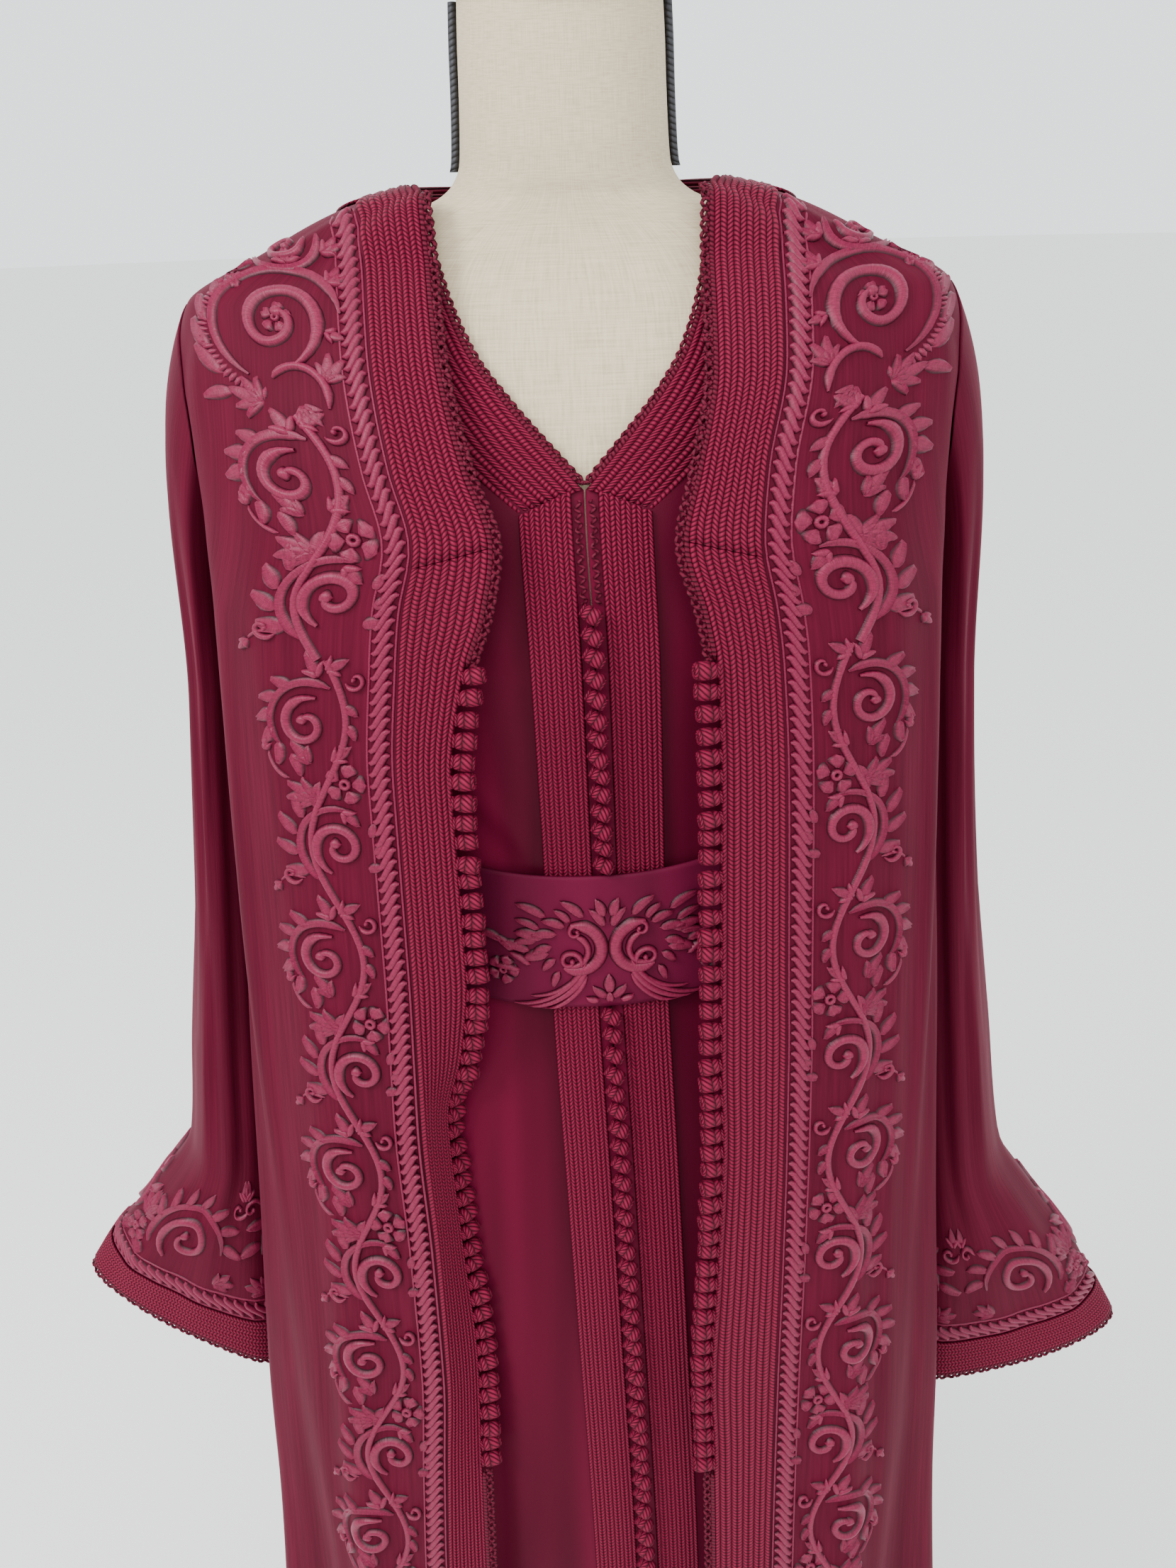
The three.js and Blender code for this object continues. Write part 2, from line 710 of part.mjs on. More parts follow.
function sleevePoint(name, angle, z) {
  if (z <= sleeveTop) return sleeveRing(name, angle, z);
  const side = sides[name];
  const t = (shoulderTip - z) / (shoulderTip - sleeveTop);
  const start = armholePoint(name, angle);
  const end = sleeveRing(name, angle, sleeveTop);
  const span = start.distanceTo(end);
  const isTop = (1 + Math.cos(radians(angle))) / 2;
  const leave = new THREE.Vector3(side * (0.1 + 0.38 * isTop), 0, -1).normalize();
  const arrive = sleeveRing(name, angle, sleeveTop - 20).sub(end).normalize();
  return start
    .multiplyScalar(1 - t * t * (3 - 2 * t))
    .addScaledVector(end, t * t * (3 - 2 * t))
    .addScaledVector(leave, span * t * (1 - t) * (1 - t))
    .addScaledVector(arrive, -span * t * t * (1 - t));
}
const sleeveSteps = 20;
const ringOf = (steps, z) =>
  Array.from({ length: steps }, (_, i) => ({ angle: (i * 360) / steps, z }));
const cuffRows = 3; // rows from the hem up that the cuff's braid covers
for (const name of Object.keys(sides)) {
  const surface = (angle, z) => sleevePoint(name, angle, z);
  const hem = sleeveOf[name][0].z;
  const levels = [
    hem, hem + 15, hem + 30, hem + 65, hem + 110, 820, 900, 1000, 1082, sleeveTop,
    1190, 1235, 1280, 1320, 1352, shoulderTip,
  ];
  const grid = levels.map((z) => ringOf(sleeveSteps, z));
  add(`caftan_sleeve_${name}`, layWall(surface, grid, onSurface, true), "crepe");
  const cuff = grid.slice(0, cuffRows);
  add(`caftan_cuffbraid_${name}`, layWall(surface, cuff, onPanel, true), "braid");
}

// Knots and picots: strips along an edge, placed across it and out from the cloth
// The edge is the panel's own: straight from one of its rows to the next
function edgeFrame(surface, edge, side, z) {
  let i = 0;
  while (i + 2 < edge.length && z > edge[i + 1].z) i += 1;
  const share = (z - edge[i].z) / (edge[i + 1].z - edge[i].z);
  const [low, high] = [edge[i], edge[i + 1]].map(({ angle, z: height, shift }) => ({
    point: surface(angle, height).add(shift ?? new THREE.Vector3()),
    outward: normalOf(surface, angle, height),
  }));
  const point = low.point.clone().lerp(high.point, share);
  const outward = low.outward.clone().lerp(high.outward, share).normalize();
  const along = high.point.clone().sub(low.point).normalize();
  const inward = outward.clone().cross(along).multiplyScalar(side).normalize();
  return { point, outward, inward };
}
function edgeStrip(surface, edge, side, sections) {
  return loftGeometry(
    sections.map(({ z, from, to, low, high }) => {
      const { point, outward, inward } = edgeFrame(surface, edge, side, z);
      const corners = [
        [from, low],
        [to, low],
        [to, high],
        [from, high],
      ];
      return corners.map(([across, out]) =>
        point.clone().addScaledVector(inward, across).addScaledVector(outward, out),
      );
    }),
  );
}
// A row of knots: full at each knot's middle, thin between two knots
function knotSections(bottom, top, full, thin) {
  const count = Math.round((top - bottom) / knotPitch);
  const pitch = (top - bottom) / count;
  return Array.from({ length: 2 * count + 1 }, (_, i) => ({
    z: bottom + (i * pitch) / 2,
    ...(i % 2 ? full : thin),
  }));
}
const stripRows = (levels, box) => levels.map((z) => ({ z, ...box }));
const knotBottom = 655;
const knotTop = 1195;
const edgeKnot = { from: seamGap, to: 13, low: -4, high: 5.5 };
const edgeCord = { from: seamGap, to: 5, low: -1.2, high: 2 };
const edgePicot = { from: seamGap, to: picotWidth, low: -0.6, high: 0.7 };
const slitBottom = 1226;
const slitBox = { from: -6.2, to: -0.2, low: 0.4, high: 1.7 };
const closureKnotBottom = 330;
const closureKnot = { from: -6, to: 6.8, low: 0.5, high: 8 };
const closureCord = { from: -2, to: 2.8, low: 0.5, high: 2.5 };
for (const [name, side] of Object.entries(sides)) {
  const edge = outerLevels.map((z) => outerFrontRow(name, z)[0]);
  const strip = (sections) => edgeStrip(outerPoint, edge, side, sections);
  const knots = knotSections(knotBottom, knotTop, edgeKnot, edgeCord);
  add(`caftan_knots_${name}`, strip(knots), "braid");
  const between = (low, high, levels) => [low, ...levels.filter((z) => z > low && z < high), high];
  const upper = between(knotTop + 1, 1430, outerLevels);
  add(`caftan_neckpicot_${name}`, strip(stripRows(upper, edgePicot)), "braid");
  const lower = between(caftanHem + 1, knotBottom - 1, outerLevels);
  add(`caftan_frontpicot_${name}`, strip(stripRows(lower, edgePicot)), "braid");

  // the dress's slit above the knots, and its neckline
  const slitEdge = dressGrids[name].map((row) => row[0]);
  const slit = between(slitBottom, veeBottom - 4, innerLevels);
  const slitPicot = edgeStrip(innerPoint, slitEdge, side, stripRows(slit, slitBox));
  add(`dress_slitpicot_${name}`, slitPicot, "braid");

  // loops hanging from the cuff
  const surface = (angle, z) => sleevePoint(name, angle, z);
  const hem = sleeveOf[name][0].z;
  const loops = [hem - seamGap - picotWidth, hem - seamGap].map((z) => ringOf(sleeveSteps, z));
  add(`caftan_cuffpicot_${name}`, layWall(surface, loops, { out: 1, in: -0.3 }, true), "braid");
}
// Knots down the dress's closure, broken where the belt covers them
const closureEdge = dressGrids.right.map((row) => row[0]);
const closureStrip = (bottom, top) =>
  edgeStrip(innerPoint, closureEdge, -1, knotSections(bottom, top, closureKnot, closureCord));
add("dress_knots_upper", closureStrip(beltTop + 5, slitBottom - 1), "braid");
add("dress_knots_lower", closureStrip(closureKnotBottom, beltBottom - 5), "braid");

export default takchita;
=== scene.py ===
import math
from bisect import bisect
from functools import lru_cache
from random import Random

import bmesh
import bpy
from mathutils import Matrix, Vector


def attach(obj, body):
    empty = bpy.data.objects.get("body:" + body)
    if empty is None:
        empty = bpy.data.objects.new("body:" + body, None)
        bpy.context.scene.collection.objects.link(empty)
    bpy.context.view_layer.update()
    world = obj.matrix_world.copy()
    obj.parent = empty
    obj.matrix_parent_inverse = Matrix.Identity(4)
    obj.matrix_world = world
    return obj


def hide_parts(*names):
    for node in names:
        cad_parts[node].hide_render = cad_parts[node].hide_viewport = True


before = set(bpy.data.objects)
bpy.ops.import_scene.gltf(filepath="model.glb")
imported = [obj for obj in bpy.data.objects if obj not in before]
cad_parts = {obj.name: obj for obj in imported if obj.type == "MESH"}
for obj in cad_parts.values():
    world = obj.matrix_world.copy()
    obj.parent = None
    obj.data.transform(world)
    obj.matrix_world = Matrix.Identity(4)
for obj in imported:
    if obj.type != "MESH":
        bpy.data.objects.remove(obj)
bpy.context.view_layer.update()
mm = 0.001  # sizes below are in millimetres
print("frame loaded")

# The camera stands in front of the dress and looks down on it a little
camera = {
    "place": (0.002, -0.870, 1.430),
    "down": 22.3,  # degrees below the horizon
    "roll": 1.8,
    "focal": 2050,  # in pixels of the photograph
    "photoHeight": 2212,
}


def addCamera():
    pitch, roll = math.radians(camera["down"]), math.radians(camera["roll"])
    ahead = Vector((0, math.cos(pitch), -math.sin(pitch)))
    right = Vector((1, 0, 0))
    below = Vector((0, -math.sin(pitch), -math.cos(pitch)))
    rightRolled = right * math.cos(roll) + below * math.sin(roll)
    belowRolled = below * math.cos(roll) - right * math.sin(roll)
    lens = bpy.data.cameras.new("camera")
    lens.sensor_width = 36
    lens.lens = camera["focal"] / camera["photoHeight"] * lens.sensor_width
    lens.clip_start = 0.01
    view = bpy.data.objects.new("camera", lens)
    bpy.context.collection.objects.link(view)
    view.matrix_world = Matrix.Translation(camera["place"]) @ Matrix(
        (rightRolled, -belowRolled, -ahead)
    ).transposed().to_4x4()
    bpy.context.scene.camera = view


addCamera()


# Curves through tables of heights and values, with no overshoot
def makeCurve(heights, values):
    steps = [b - a for a, b in zip(heights, heights[1:])]
    slopes = [(b - a) / step for a, b, step in zip(values, values[1:], steps)]
    tangents = [slopes[0]]
    for before, after in zip(slopes, slopes[1:]):
        flat = before * after <= 0
        tangents.append(0 if flat else 2 * before * after / (before + after))
    tangents.append(slopes[-1])

    @lru_cache(maxsize=None)
    def at(z):
        if z <= heights[0]:
            return values[0]
        if z >= heights[-1]:
            return values[-1]
        i = 0
        while z > heights[i + 1]:
            i += 1
        t = (z - heights[i]) / steps[i]
        rise = t * t * (3 - 2 * t)
        return (
            values[i] * (1 - rise)
            + values[i + 1] * rise
            + steps[i] * tangents[i] * t * (1 - t) ** 2
            - steps[i] * tangents[i + 1] * t * t * (1 - t)
        )

    return at


def makeSections(z, **columns):
    return {name: makeCurve(z, values) for name, values in columns.items()}


formSections = makeSections(
    [
        770, 800, 850, 900, 960, 1020, 1080, 1150, 1215, 1260, 1300, 1346, 1372, 1386, 1401, 1416, 1427,
        1434, 1443, 1455, 1480, 1502, 1526,
    ],
    halfWidth=[
        157, 166, 170, 160, 137, 121, 131, 146, 155, 160, 166, 176, 176, 164, 140, 101, 70, 62, 58, 57, 56,
        55.5, 54.5,
    ],
    front=[
        103, 108, 110, 104, 95, 91, 98, 109, 117, 114, 103, 85, 67, 57, 51, 49, 49.5, 51.5, 53, 54.5, 55,
        55, 54.5,
    ],
    back=[
        112, 120, 122, 116, 102, 90, 92, 96, 100, 102, 103, 96, 84, 74, 64, 56, 55, 55, 55.5, 56, 56, 55.5,
        55,
    ],
)
dressSections = makeSections(
    [
        24, 200, 457, 560, 641, 760, 850, 920, 977, 1020, 1062, 1120, 1190, 1240, 1300, 1346, 1376, 1396,
        1405, 1419, 1428.5, 1432,
    ],
    halfWidth=[
        262, 248, 224, 210, 199, 191, 181, 163, 143, 134, 140, 152, 161, 166, 171, 183, 186, 168, 150, 119,
        84, 72,
    ],
    front=[
        190, 178, 160, 152, 146, 138, 130, 121, 111, 106, 109, 116, 124, 122, 109, 91, 71, 60, 58, 56, 55.5,
        55,
    ],
    back=[
        192, 182, 164, 156, 150, 144, 136, 125, 112, 104, 104, 106, 108, 109, 110, 102, 92, 77, 71, 64, 60,
        59,
    ],
)
caftanSections = makeSections(
    [30, 200, 457, 641, 820, 1000, 1150, 1240, 1300, 1346, 1377, 1401, 1424, 1433, 1436],
    halfWidth=[286, 280, 272, 275, 267, 260, 252, 246, 236, 226, 215, 171, 121, 84, 74],
    front=[222, 206, 180, 166, 157, 149, 143, 140, 127, 105, 82, 64, 62, 61, 60],
    back=[228, 214, 192, 175, 160, 147, 138, 131, 124, 114, 101, 86, 70, 65, 63],
)
# The caftan's open edges: the edge, its braid's outer edge, and how far the edge rolls in
edgeHeights = {
    "right": [30, 300, 569, 653, 730, 821, 906, 959, 1015, 1131, 1198, 1227, 1262, 1298, 1347, 1391, 1433],
    "left": [30, 300, 562, 661, 724, 814, 899, 953, 1010, 1126, 1194, 1223, 1260, 1295, 1343, 1387, 1433],
}
caftanEdges = {
    "right": makeSections(
        edgeHeights["right"],
        edge=[84, 85, 83, 82, 81, 87, 91, 78, 71, 72, 61, 51, 45, 57, 69, 74, 77],
        braid=[116, 114, 108, 104, 100, 101, 104, 103, 102, 102, 96, 92, 84, 93, 102, 106, 112],
        roll=[4, 5, 5, 8, 14, 19, 21, 14, 6, 3, 2, 1, 0, 0, 0, 0, 0],
    ),
    "left": makeSections(
        edgeHeights["left"],
        edge=[70, 71, 71, 70, 68, 72, 75, 74, 74, 74, 72, 67, 57, 65, 75, 76, 77],
        braid=[106, 107, 108, 109, 110, 112, 113, 113, 112, 110, 106, 102, 95, 98, 109, 111, 112],
        roll=[2, 3, 3, 2, 1, 0, 0, 0, 0, 0, 0, 0, 0, 0, 0, 0, 0],
    ),
}
closureLine = makeCurve([24, 552, 744, 860, 1000, 1190, 1285, 1440], [32, 26, 20, 16, 11, 8, 5, 5])
neckline = makeSections(
    [1285, 1298, 1312, 1330, 1352, 1380, 1405, 1428.5],
    edge=[1, 13, 26, 42, 58, 70, 76, 78.5],
    braid=[36, 56, 75, 88, 98, 107, 111, 112],
)
caftanArmhole = makeCurve([1215, 1235, 1260, 1300, 1340, 1362, 1377], [89.9, 79, 71, 66, 70, 79, 89.9])
dressArmhole = makeCurve([1235, 1255, 1280, 1320, 1360, 1390, 1405], [89.9, 76, 66, 58, 57, 68, 89.9])
sideHollow = makeCurve(
    [30, 300, 457, 600, 700, 820, 1000, 1150, 1215, 1260, 1300, 1346, 1377],
    [0, 10, 36, 62, 66, 66, 65, 63, 60, 46, 22, 2, 0],
)


def makeFolds(rows):
    return [
        (angle, breadth, makeCurve([30, 500, 900, 1250], [hem, knee, hip, chest]))
        for angle, breadth, hem, knee, hip, chest in rows
    ]


# Folds: angle from the centre front, half breadth, then depth at hem, knee, hip and chest
caftanFolds = makeFolds([
    (34, 7, 12, 8, 2, 0), (48, 8, -16, -10, -5, -2), (62, 8, 16, 8, 3, 2), (80, 8, -12, -4, 0, 0),
    (100, 8, 12, 4, 0, 0), (116, 9, -18, -8, -2, 0), (131, 8, 18, 9, 4, 1), (146, 8, -18, -10, -5, -2),
    (163, 9, 16, 10, 4, 1), (180, 9, -16, -8, -3, 0),
])
dressFolds = makeFolds([
    (24, 7, 8, 6, 3, 0), (37, 7, -12, -9, -6, 0), (51, 8, 12, 7, 4, 0), (66, 7, -12, -7, -4, 0),
    (82, 8, 12, 2, 2, 0), (98, 8, -12, -4, -2, 0), (115, 8, 12, 6, 4, 0), (131, 8, -12, -8, -5, 0),
    (147, 8, 12, 8, 4, 0), (163, 8, -12, -8, -4, 0), (180, 8, 12, 8, 3, 0),
])
squareness = 2.25  # 2 is an ellipse, more is squarer


def clamp(value, low, high):
    return min(high, max(low, value))


def hump(distance):
    return 0 if abs(distance) >= 1 else 0.5 * (1 + math.cos(math.pi * distance))


def powered(value):
    return math.copysign(abs(value) ** (2 / squareness), value)


def wrapPoint(sections, angle, z, push):
    turn = math.radians(angle)
    halfWidth = sections["halfWidth"](z)
    depth = sections["front" if math.cos(turn) > 0 else "back"](z)
    x = halfWidth * powered(math.sin(turn))
    y = -depth * powered(math.cos(turn))
    outX, outY = x / halfWidth**2, y / depth**2
    length = math.hypot(outX, outY)
    return Vector((x + push * outX / length, y + push * outY / length, z))


def foldPush(folds, angle, z):
    push = 0
    for centre, breadth, depth in folds:
        distance = (abs(angle) - centre) / breadth
        if abs(distance) < 1:
            push += depth(z) * hump(distance)
    return push


def creasePush(creases, angle, z):
    # soft troughs between two places, each given by angle and height
    push = 0
    for fromAngle, fromZ, toAngle, toZ, breadth, depth in creases:
        if z < min(fromZ, toZ) or z > max(fromZ, toZ):
            continue
        share = (z - fromZ) / (toZ - fromZ)
        distance = (angle - fromAngle - (toAngle - fromAngle) * share) / breadth
        if abs(distance) < 2.5:
            push += depth * math.exp(-distance * distance) * math.sin(math.pi * share) ** 0.7
    return push


def formPoint(angle, z):
    return wrapPoint(formSections, angle, z, 0)


# Creases seen on the dress and the caftan: from angle and height to angle and height, breadth, depth
dressCreases = [
    (-44, 1180, -14, 1062, 5, -3), (-34, 1150, -8, 1064, 4, 2), (-25, 970, -17, 400, 4, -4),
    (-33, 960, -24, 300, 4, 3), (22, 975, 30, 500, 4, -3), (36, 970, 40, 350, 4, 3),
    (40, 1200, 28, 1064, 5, -2),
]
caftanCreases = [
    (-70, 1330, -52, 700, 3.5, -5), (-58, 1310, -45, 560, 3, 4), (-44, 1180, -38, 420, 3, -3),
    (66, 1330, 50, 650, 3.5, -5), (57, 1290, 44, 500, 3, 4), (41, 1150, 36, 380, 3, -3),
    (-62, 1000, -58, 80, 4, 4), (62, 1060, 57, 60, 4, 4),
]
backCreases = [
    (150, 1330, 158, 500, 4, -4), (-152, 1320, -160, 420, 4, -4), (128, 1250, 135, 300, 4, 4),
    (-126, 1260, -133, 350, 4, 4), (171, 1200, 176, 200, 4, -3), (-172, 1180, -178, 260, 4, 3),
]


def dressPoint(angle, z):
    drawnIn = clamp(abs(z - 1020) / 160, 0, 1)
    push = foldPush(dressFolds, angle, z) * drawnIn + creasePush(dressCreases, angle, z)
    return wrapPoint(dressSections, angle, z, push)


def caftanPoint(angle, z):
    push = foldPush(caftanFolds, angle, z)
    push += creasePush(caftanCreases, angle, z) + creasePush(backCreases, angle, z)
    push -= sideHollow(z) * hump((abs(angle) - 94) / 54)
    return wrapPoint(caftanSections, angle, z, push)


def angleAt(sections, distance, z):
    share = clamp(abs(distance) / sections["halfWidth"](z), 0, 1)
    angle = math.degrees(math.asin(share ** (squareness / 2)))
    return math.copysign(min(angle, 89.9), distance)


def normalOf(surface, u, z, stepU=0.5, stepZ=1.0):
    across = surface(u + stepU, z) - surface(u - stepU, z)
    up = surface(u, z + stepZ) - surface(u, z - stepZ)
    return across.cross(up).normalized()


# Materials
def newMaterial(name):
    material = bpy.data.materials.new(name)
    material.use_nodes = True
    return material, material.node_tree.nodes, material.node_tree.links


def shaderOf(nodes):
    return next(node for node in nodes if node.type == "BSDF_PRINCIPLED")


def mathNode(nodes, links, kind, a, b=None):
    node = nodes.new("ShaderNodeMath")
    node.operation = kind
    for socket, value in zip(node.inputs, (a, b)):
        if value is None:
            continue
        if hasattr(value, "links"):
            links.new(value, socket)
        else:
            socket.default_value = value
    return node.outputs[0]


def noiseNode(nodes, links, vector, scale, detail=3, roughness=0.55):
    node = nodes.new("ShaderNodeTexNoise")
    node.inputs["Scale"].default_value = scale
    node.inputs["Detail"].default_value = detail
    node.inputs["Roughness"].default_value = roughness
    links.new(vector, node.inputs["Vector"])
    return node.outputs["Fac"]


def rampNode(nodes, links, fac, stops):
    node = nodes.new("ShaderNodeValToRGB")
    ramp = node.color_ramp
    while len(ramp.elements) < len(stops):
        ramp.elements.new(0.5)
    for element, (place, colour) in zip(ramp.elements, stops):
        element.position = place
        element.color = (*colour, 1)
    links.new(fac, node.inputs["Fac"])
    return node.outputs["Color"]


def bumpNode(nodes, links, height, distance, strength=1.0, before=None):
    node = nodes.new("ShaderNodeBump")
    node.inputs["Strength"].default_value = strength
    node.inputs["Distance"].default_value = distance
    links.new(height, node.inputs["Height"])
    if before is not None:
        links.new(before, node.inputs["Normal"])
    return node.outputs["Normal"]


def scaledUv(nodes, links, x, y):
    source = nodes.new("ShaderNodeUVMap")
    source.uv_map = "UVMap"
    node = nodes.new("ShaderNodeMapping")
    node.inputs["Scale"].default_value = (x, y, 1)
    links.new(source.outputs["UV"], node.inputs["Vector"])
    return node.outputs["Vector"]


def uvParts(nodes, links):
    source = nodes.new("ShaderNodeUVMap")
    source.uv_map = "UVMap"
    split = nodes.new("ShaderNodeSeparateXYZ")
    links.new(source.outputs["UV"], split.inputs[0])
    return split.outputs["X"], split.outputs["Y"]


def linear(r, g, b):
    def one(c):
        c /= 255
        return c / 12.92 if c <= 0.04045 else ((c + 0.055) / 1.055) ** 2.4

    return (one(r), one(g), one(b))


def setSheen(shader, weight, roughness, tint):
    shader.inputs["Sheen Weight"].default_value = weight
    shader.inputs["Sheen Roughness"].default_value = roughness
    shader.inputs["Sheen Tint"].default_value = (*tint, 1)


# crepe tones: the spread between dark and light makes streaks that are partly random tone, partly painted
# sheen
crepe = {
    "dark": (64, 5, 25), "middle": (72, 7, 29), "light": (81, 10, 34), "roughness": 0.62, "shine": 0.06
}


def makeCrepe():
    material, nodes, links = newMaterial("crepe")
    shader = shaderOf(nodes)
    # streaks and broad noise set the crepe's colour: partly random tone, partly painted sheen in long
    # vertical streaks
    streaks = noiseNode(nodes, links, scaledUv(nodes, links, 430, 11), 1.0, 3, 0.6)
    broad = noiseNode(nodes, links, scaledUv(nodes, links, 40, 2.6), 1.0, 2)
    mixed = mathNode(
        nodes, links, "ADD", mathNode(nodes, links, "MULTIPLY", streaks, 0.65),
        mathNode(nodes, links, "MULTIPLY", broad, 0.35),
    )
    colour = rampNode(
        nodes, links, mixed,
        [(0.36, linear(*crepe["dark"])), (0.5, linear(*crepe["middle"])), (0.66, linear(*crepe["light"]))],
    )
    links.new(colour, shader.inputs["Base Color"])
    shader.inputs["Roughness"].default_value = crepe["roughness"]
    shader.inputs["Specular IOR Level"].default_value = crepe["shine"]
    fine = noiseNode(nodes, links, scaledUv(nodes, links, 1400, 260), 1.0, 2)
    normal = bumpNode(nodes, links, fine, 0.0002, 0.5)
    normal = bumpNode(nodes, links, streaks, 0.0004, 0.3, normal)
    links.new(normal, shader.inputs["Normal"])
    setSheen(shader, 0.08, 0.4, linear(220, 70, 115))
    return material


# satin tones for the dress and the belt: the bands between dark and light are painted sheen
satin = {
    "dress": ((58, 5, 23), (92, 12, 40)),
    "belt": ((70, 9, 33), (92, 17, 46)),
    "roughness": 0.42, "shine": 0.04,
}


def makeSatin(name, dark, light):
    material, nodes, links = newMaterial(name)
    shader = shaderOf(nodes)
    # broad vertical bands of colour from dark to light: painted sheen bands on the satin
    broad = noiseNode(nodes, links, scaledUv(nodes, links, 17, 1.5), 1.0, 2)
    colour = rampNode(nodes, links, broad, [(0.36, linear(*dark)), (0.66, linear(*light))])
    links.new(colour, shader.inputs["Base Color"])
    shader.inputs["Roughness"].default_value = satin["roughness"]
    shader.inputs["Specular IOR Level"].default_value = satin["shine"]
    shader.inputs["Anisotropic"].default_value = 0.3
    grain = noiseNode(nodes, links, scaledUv(nodes, links, 1500, 900), 1.0, 2)
    links.new(bumpNode(nodes, links, grain, 0.00015, 0.5), shader.inputs["Normal"])
    setSheen(shader, 0.03, 0.35, linear(225, 70, 120))
    return material


# braid tones by the cords' height: dark is painted shade in the grooves, light a painted highlight on the
# cords' tops
braid = {
    "dark": (24, 1, 8), "middle": (84, 8, 32), "light": (116, 17, 49), "cords": 10, "pitch": 2.5,
    "roughness": 0.52, "shine": 0.1,
}


def stitchHeight(nodes, links, cords, perMetre, slant):
    # u runs 0 to 1 across the band, v along it in metres
    u, v = uvParts(nodes, links)
    across = mathNode(nodes, links, "MULTIPLY", u, cords)
    inCord = mathNode(nodes, links, "FRACT", across)
    cord = mathNode(nodes, links, "FLOOR", across)
    odd = mathNode(nodes, links, "MODULO", cord, 2)
    sign = mathNode(nodes, links, "SUBTRACT", mathNode(nodes, links, "MULTIPLY", odd, 2), 1)
    lean = mathNode(nodes, links, "MULTIPLY", mathNode(nodes, links, "MULTIPLY", sign, inCord), slant)
    along = mathNode(
        nodes, links, "ADD", mathNode(nodes, links, "MULTIPLY", v, perMetre), lean
    )
    wave = mathNode(
        nodes, links, "ABSOLUTE",
        mathNode(nodes, links, "SINE", mathNode(nodes, links, "MULTIPLY", along, math.pi)),
    )
    ribs = mathNode(
        nodes, links, "ABSOLUTE",
        mathNode(nodes, links, "SINE", mathNode(nodes, links, "MULTIPLY", across, math.pi)),
    )
    return mathNode(
        nodes, links, "MULTIPLY", mathNode(nodes, links, "POWER", wave, 0.6),
        mathNode(nodes, links, "POWER", ribs, 0.45),
    )


def makeBraid(name, cords, pitch, slant=0.9, shade=1.0):
    material, nodes, links = newMaterial(name)
    shader = shaderOf(nodes)
    height = stitchHeight(nodes, links, cords, 1000 / pitch, slant)
    # the colour follows the cords' height: painted shade in the grooves, the braid's own tone between,
    # painted highlight on the tops
    tones = [[shade * part for part in linear(*braid[tone])] for tone in ("dark", "middle", "light")]
    links.new(
        rampNode(nodes, links, height, list(zip((0.05, 0.5, 0.95), tones))), shader.inputs["Base Color"]
    )
    shader.inputs["Roughness"].default_value = braid["roughness"]
    shader.inputs["Specular IOR Level"].default_value = braid["shine"]
    links.new(bumpNode(nodes, links, height, 0.0009, 0.9), shader.inputs["Normal"])
    setSheen(shader, 0.05, 0.4, linear(230, 80, 125))
    return material


# thread tones: edge is painted shadow along the sides of each stroke
thread = {"edge": (28, 1, 9), "dark": (82, 11, 36), "light": (120, 25, 58), "roughness": 0.4, "shine": 0.2}


def makeThread():
    # satin stitch: fine threads lie across each stroke; v runs along the stroke in metres
    material, nodes, links = newMaterial("satinStitch")
    shader = shaderOf(nodes)
    across = noiseNode(nodes, links, scaledUv(nodes, links, 2, 1500), 1.0, 2)
    broad = noiseNode(nodes, links, scaledUv(nodes, links, 60, 60), 1.0, 2)
    mixed = mathNode(
        nodes, links, "ADD", mathNode(nodes, links, "MULTIPLY", across, 0.5),
        mathNode(nodes, links, "MULTIPLY", broad, 0.5),
    )
    # 0 at both edges of the stroke, where the colour turns to the edge tone as painted shadow
    middle = mathNode(
        nodes, links, "SINE", mathNode(nodes, links, "MULTIPLY", uvParts(nodes, links)[0], math.pi)
    )
    inside = mathNode(nodes, links, "MINIMUM", mathNode(nodes, links, "MULTIPLY", middle, 1.6), 1)
    threadsWithEdgeShadow = mathNode(nodes, links, "MULTIPLY", mixed, inside)
    # dark edges are painted shadow; across the middle the tone varies at random with the threads
    stops = [
        (0.1, linear(*thread["edge"])), (0.36, linear(*thread["dark"])), (0.6, linear(*thread["light"]))
    ]
    links.new(rampNode(nodes, links, threadsWithEdgeShadow, stops), shader.inputs["Base Color"])
    shader.inputs["Roughness"].default_value = thread["roughness"]
    shader.inputs["Specular IOR Level"].default_value = thread["shine"]
    shader.inputs["Anisotropic"].default_value = 0.4
    links.new(bumpNode(nodes, links, across, 0.0004, 0.6), shader.inputs["Normal"])
    setSheen(shader, 0.1, 0.35, linear(240, 100, 145))
    return material


linen = {"dark": (168, 151, 122), "light": (194, 178, 150), "threads": 1300}


def makeLinen():
    material, nodes, links = newMaterial("linen")
    shader = shaderOf(nodes)
    weft = noiseNode(nodes, links, scaledUv(nodes, links, 60, linen["threads"]), 1.0, 3)
    warp = noiseNode(nodes, links, scaledUv(nodes, links, linen["threads"], 60), 1.0, 3)
    weave = mathNode(nodes, links, "MULTIPLY", mathNode(nodes, links, "ADD", weft, warp), 0.5)
    colour = rampNode(nodes, links, weave, [(0.34, linear(*linen["dark"])), (0.6, linear(*linen["light"]))])
    links.new(colour, shader.inputs["Base Color"])
    shader.inputs["Roughness"].default_value = 0.85
    links.new(bumpNode(nodes, links, weave, 0.0004, 0.7), shader.inputs["Normal"])
    setSheen(shader, 0.1, 0.5, linear(255, 250, 240))
    return material


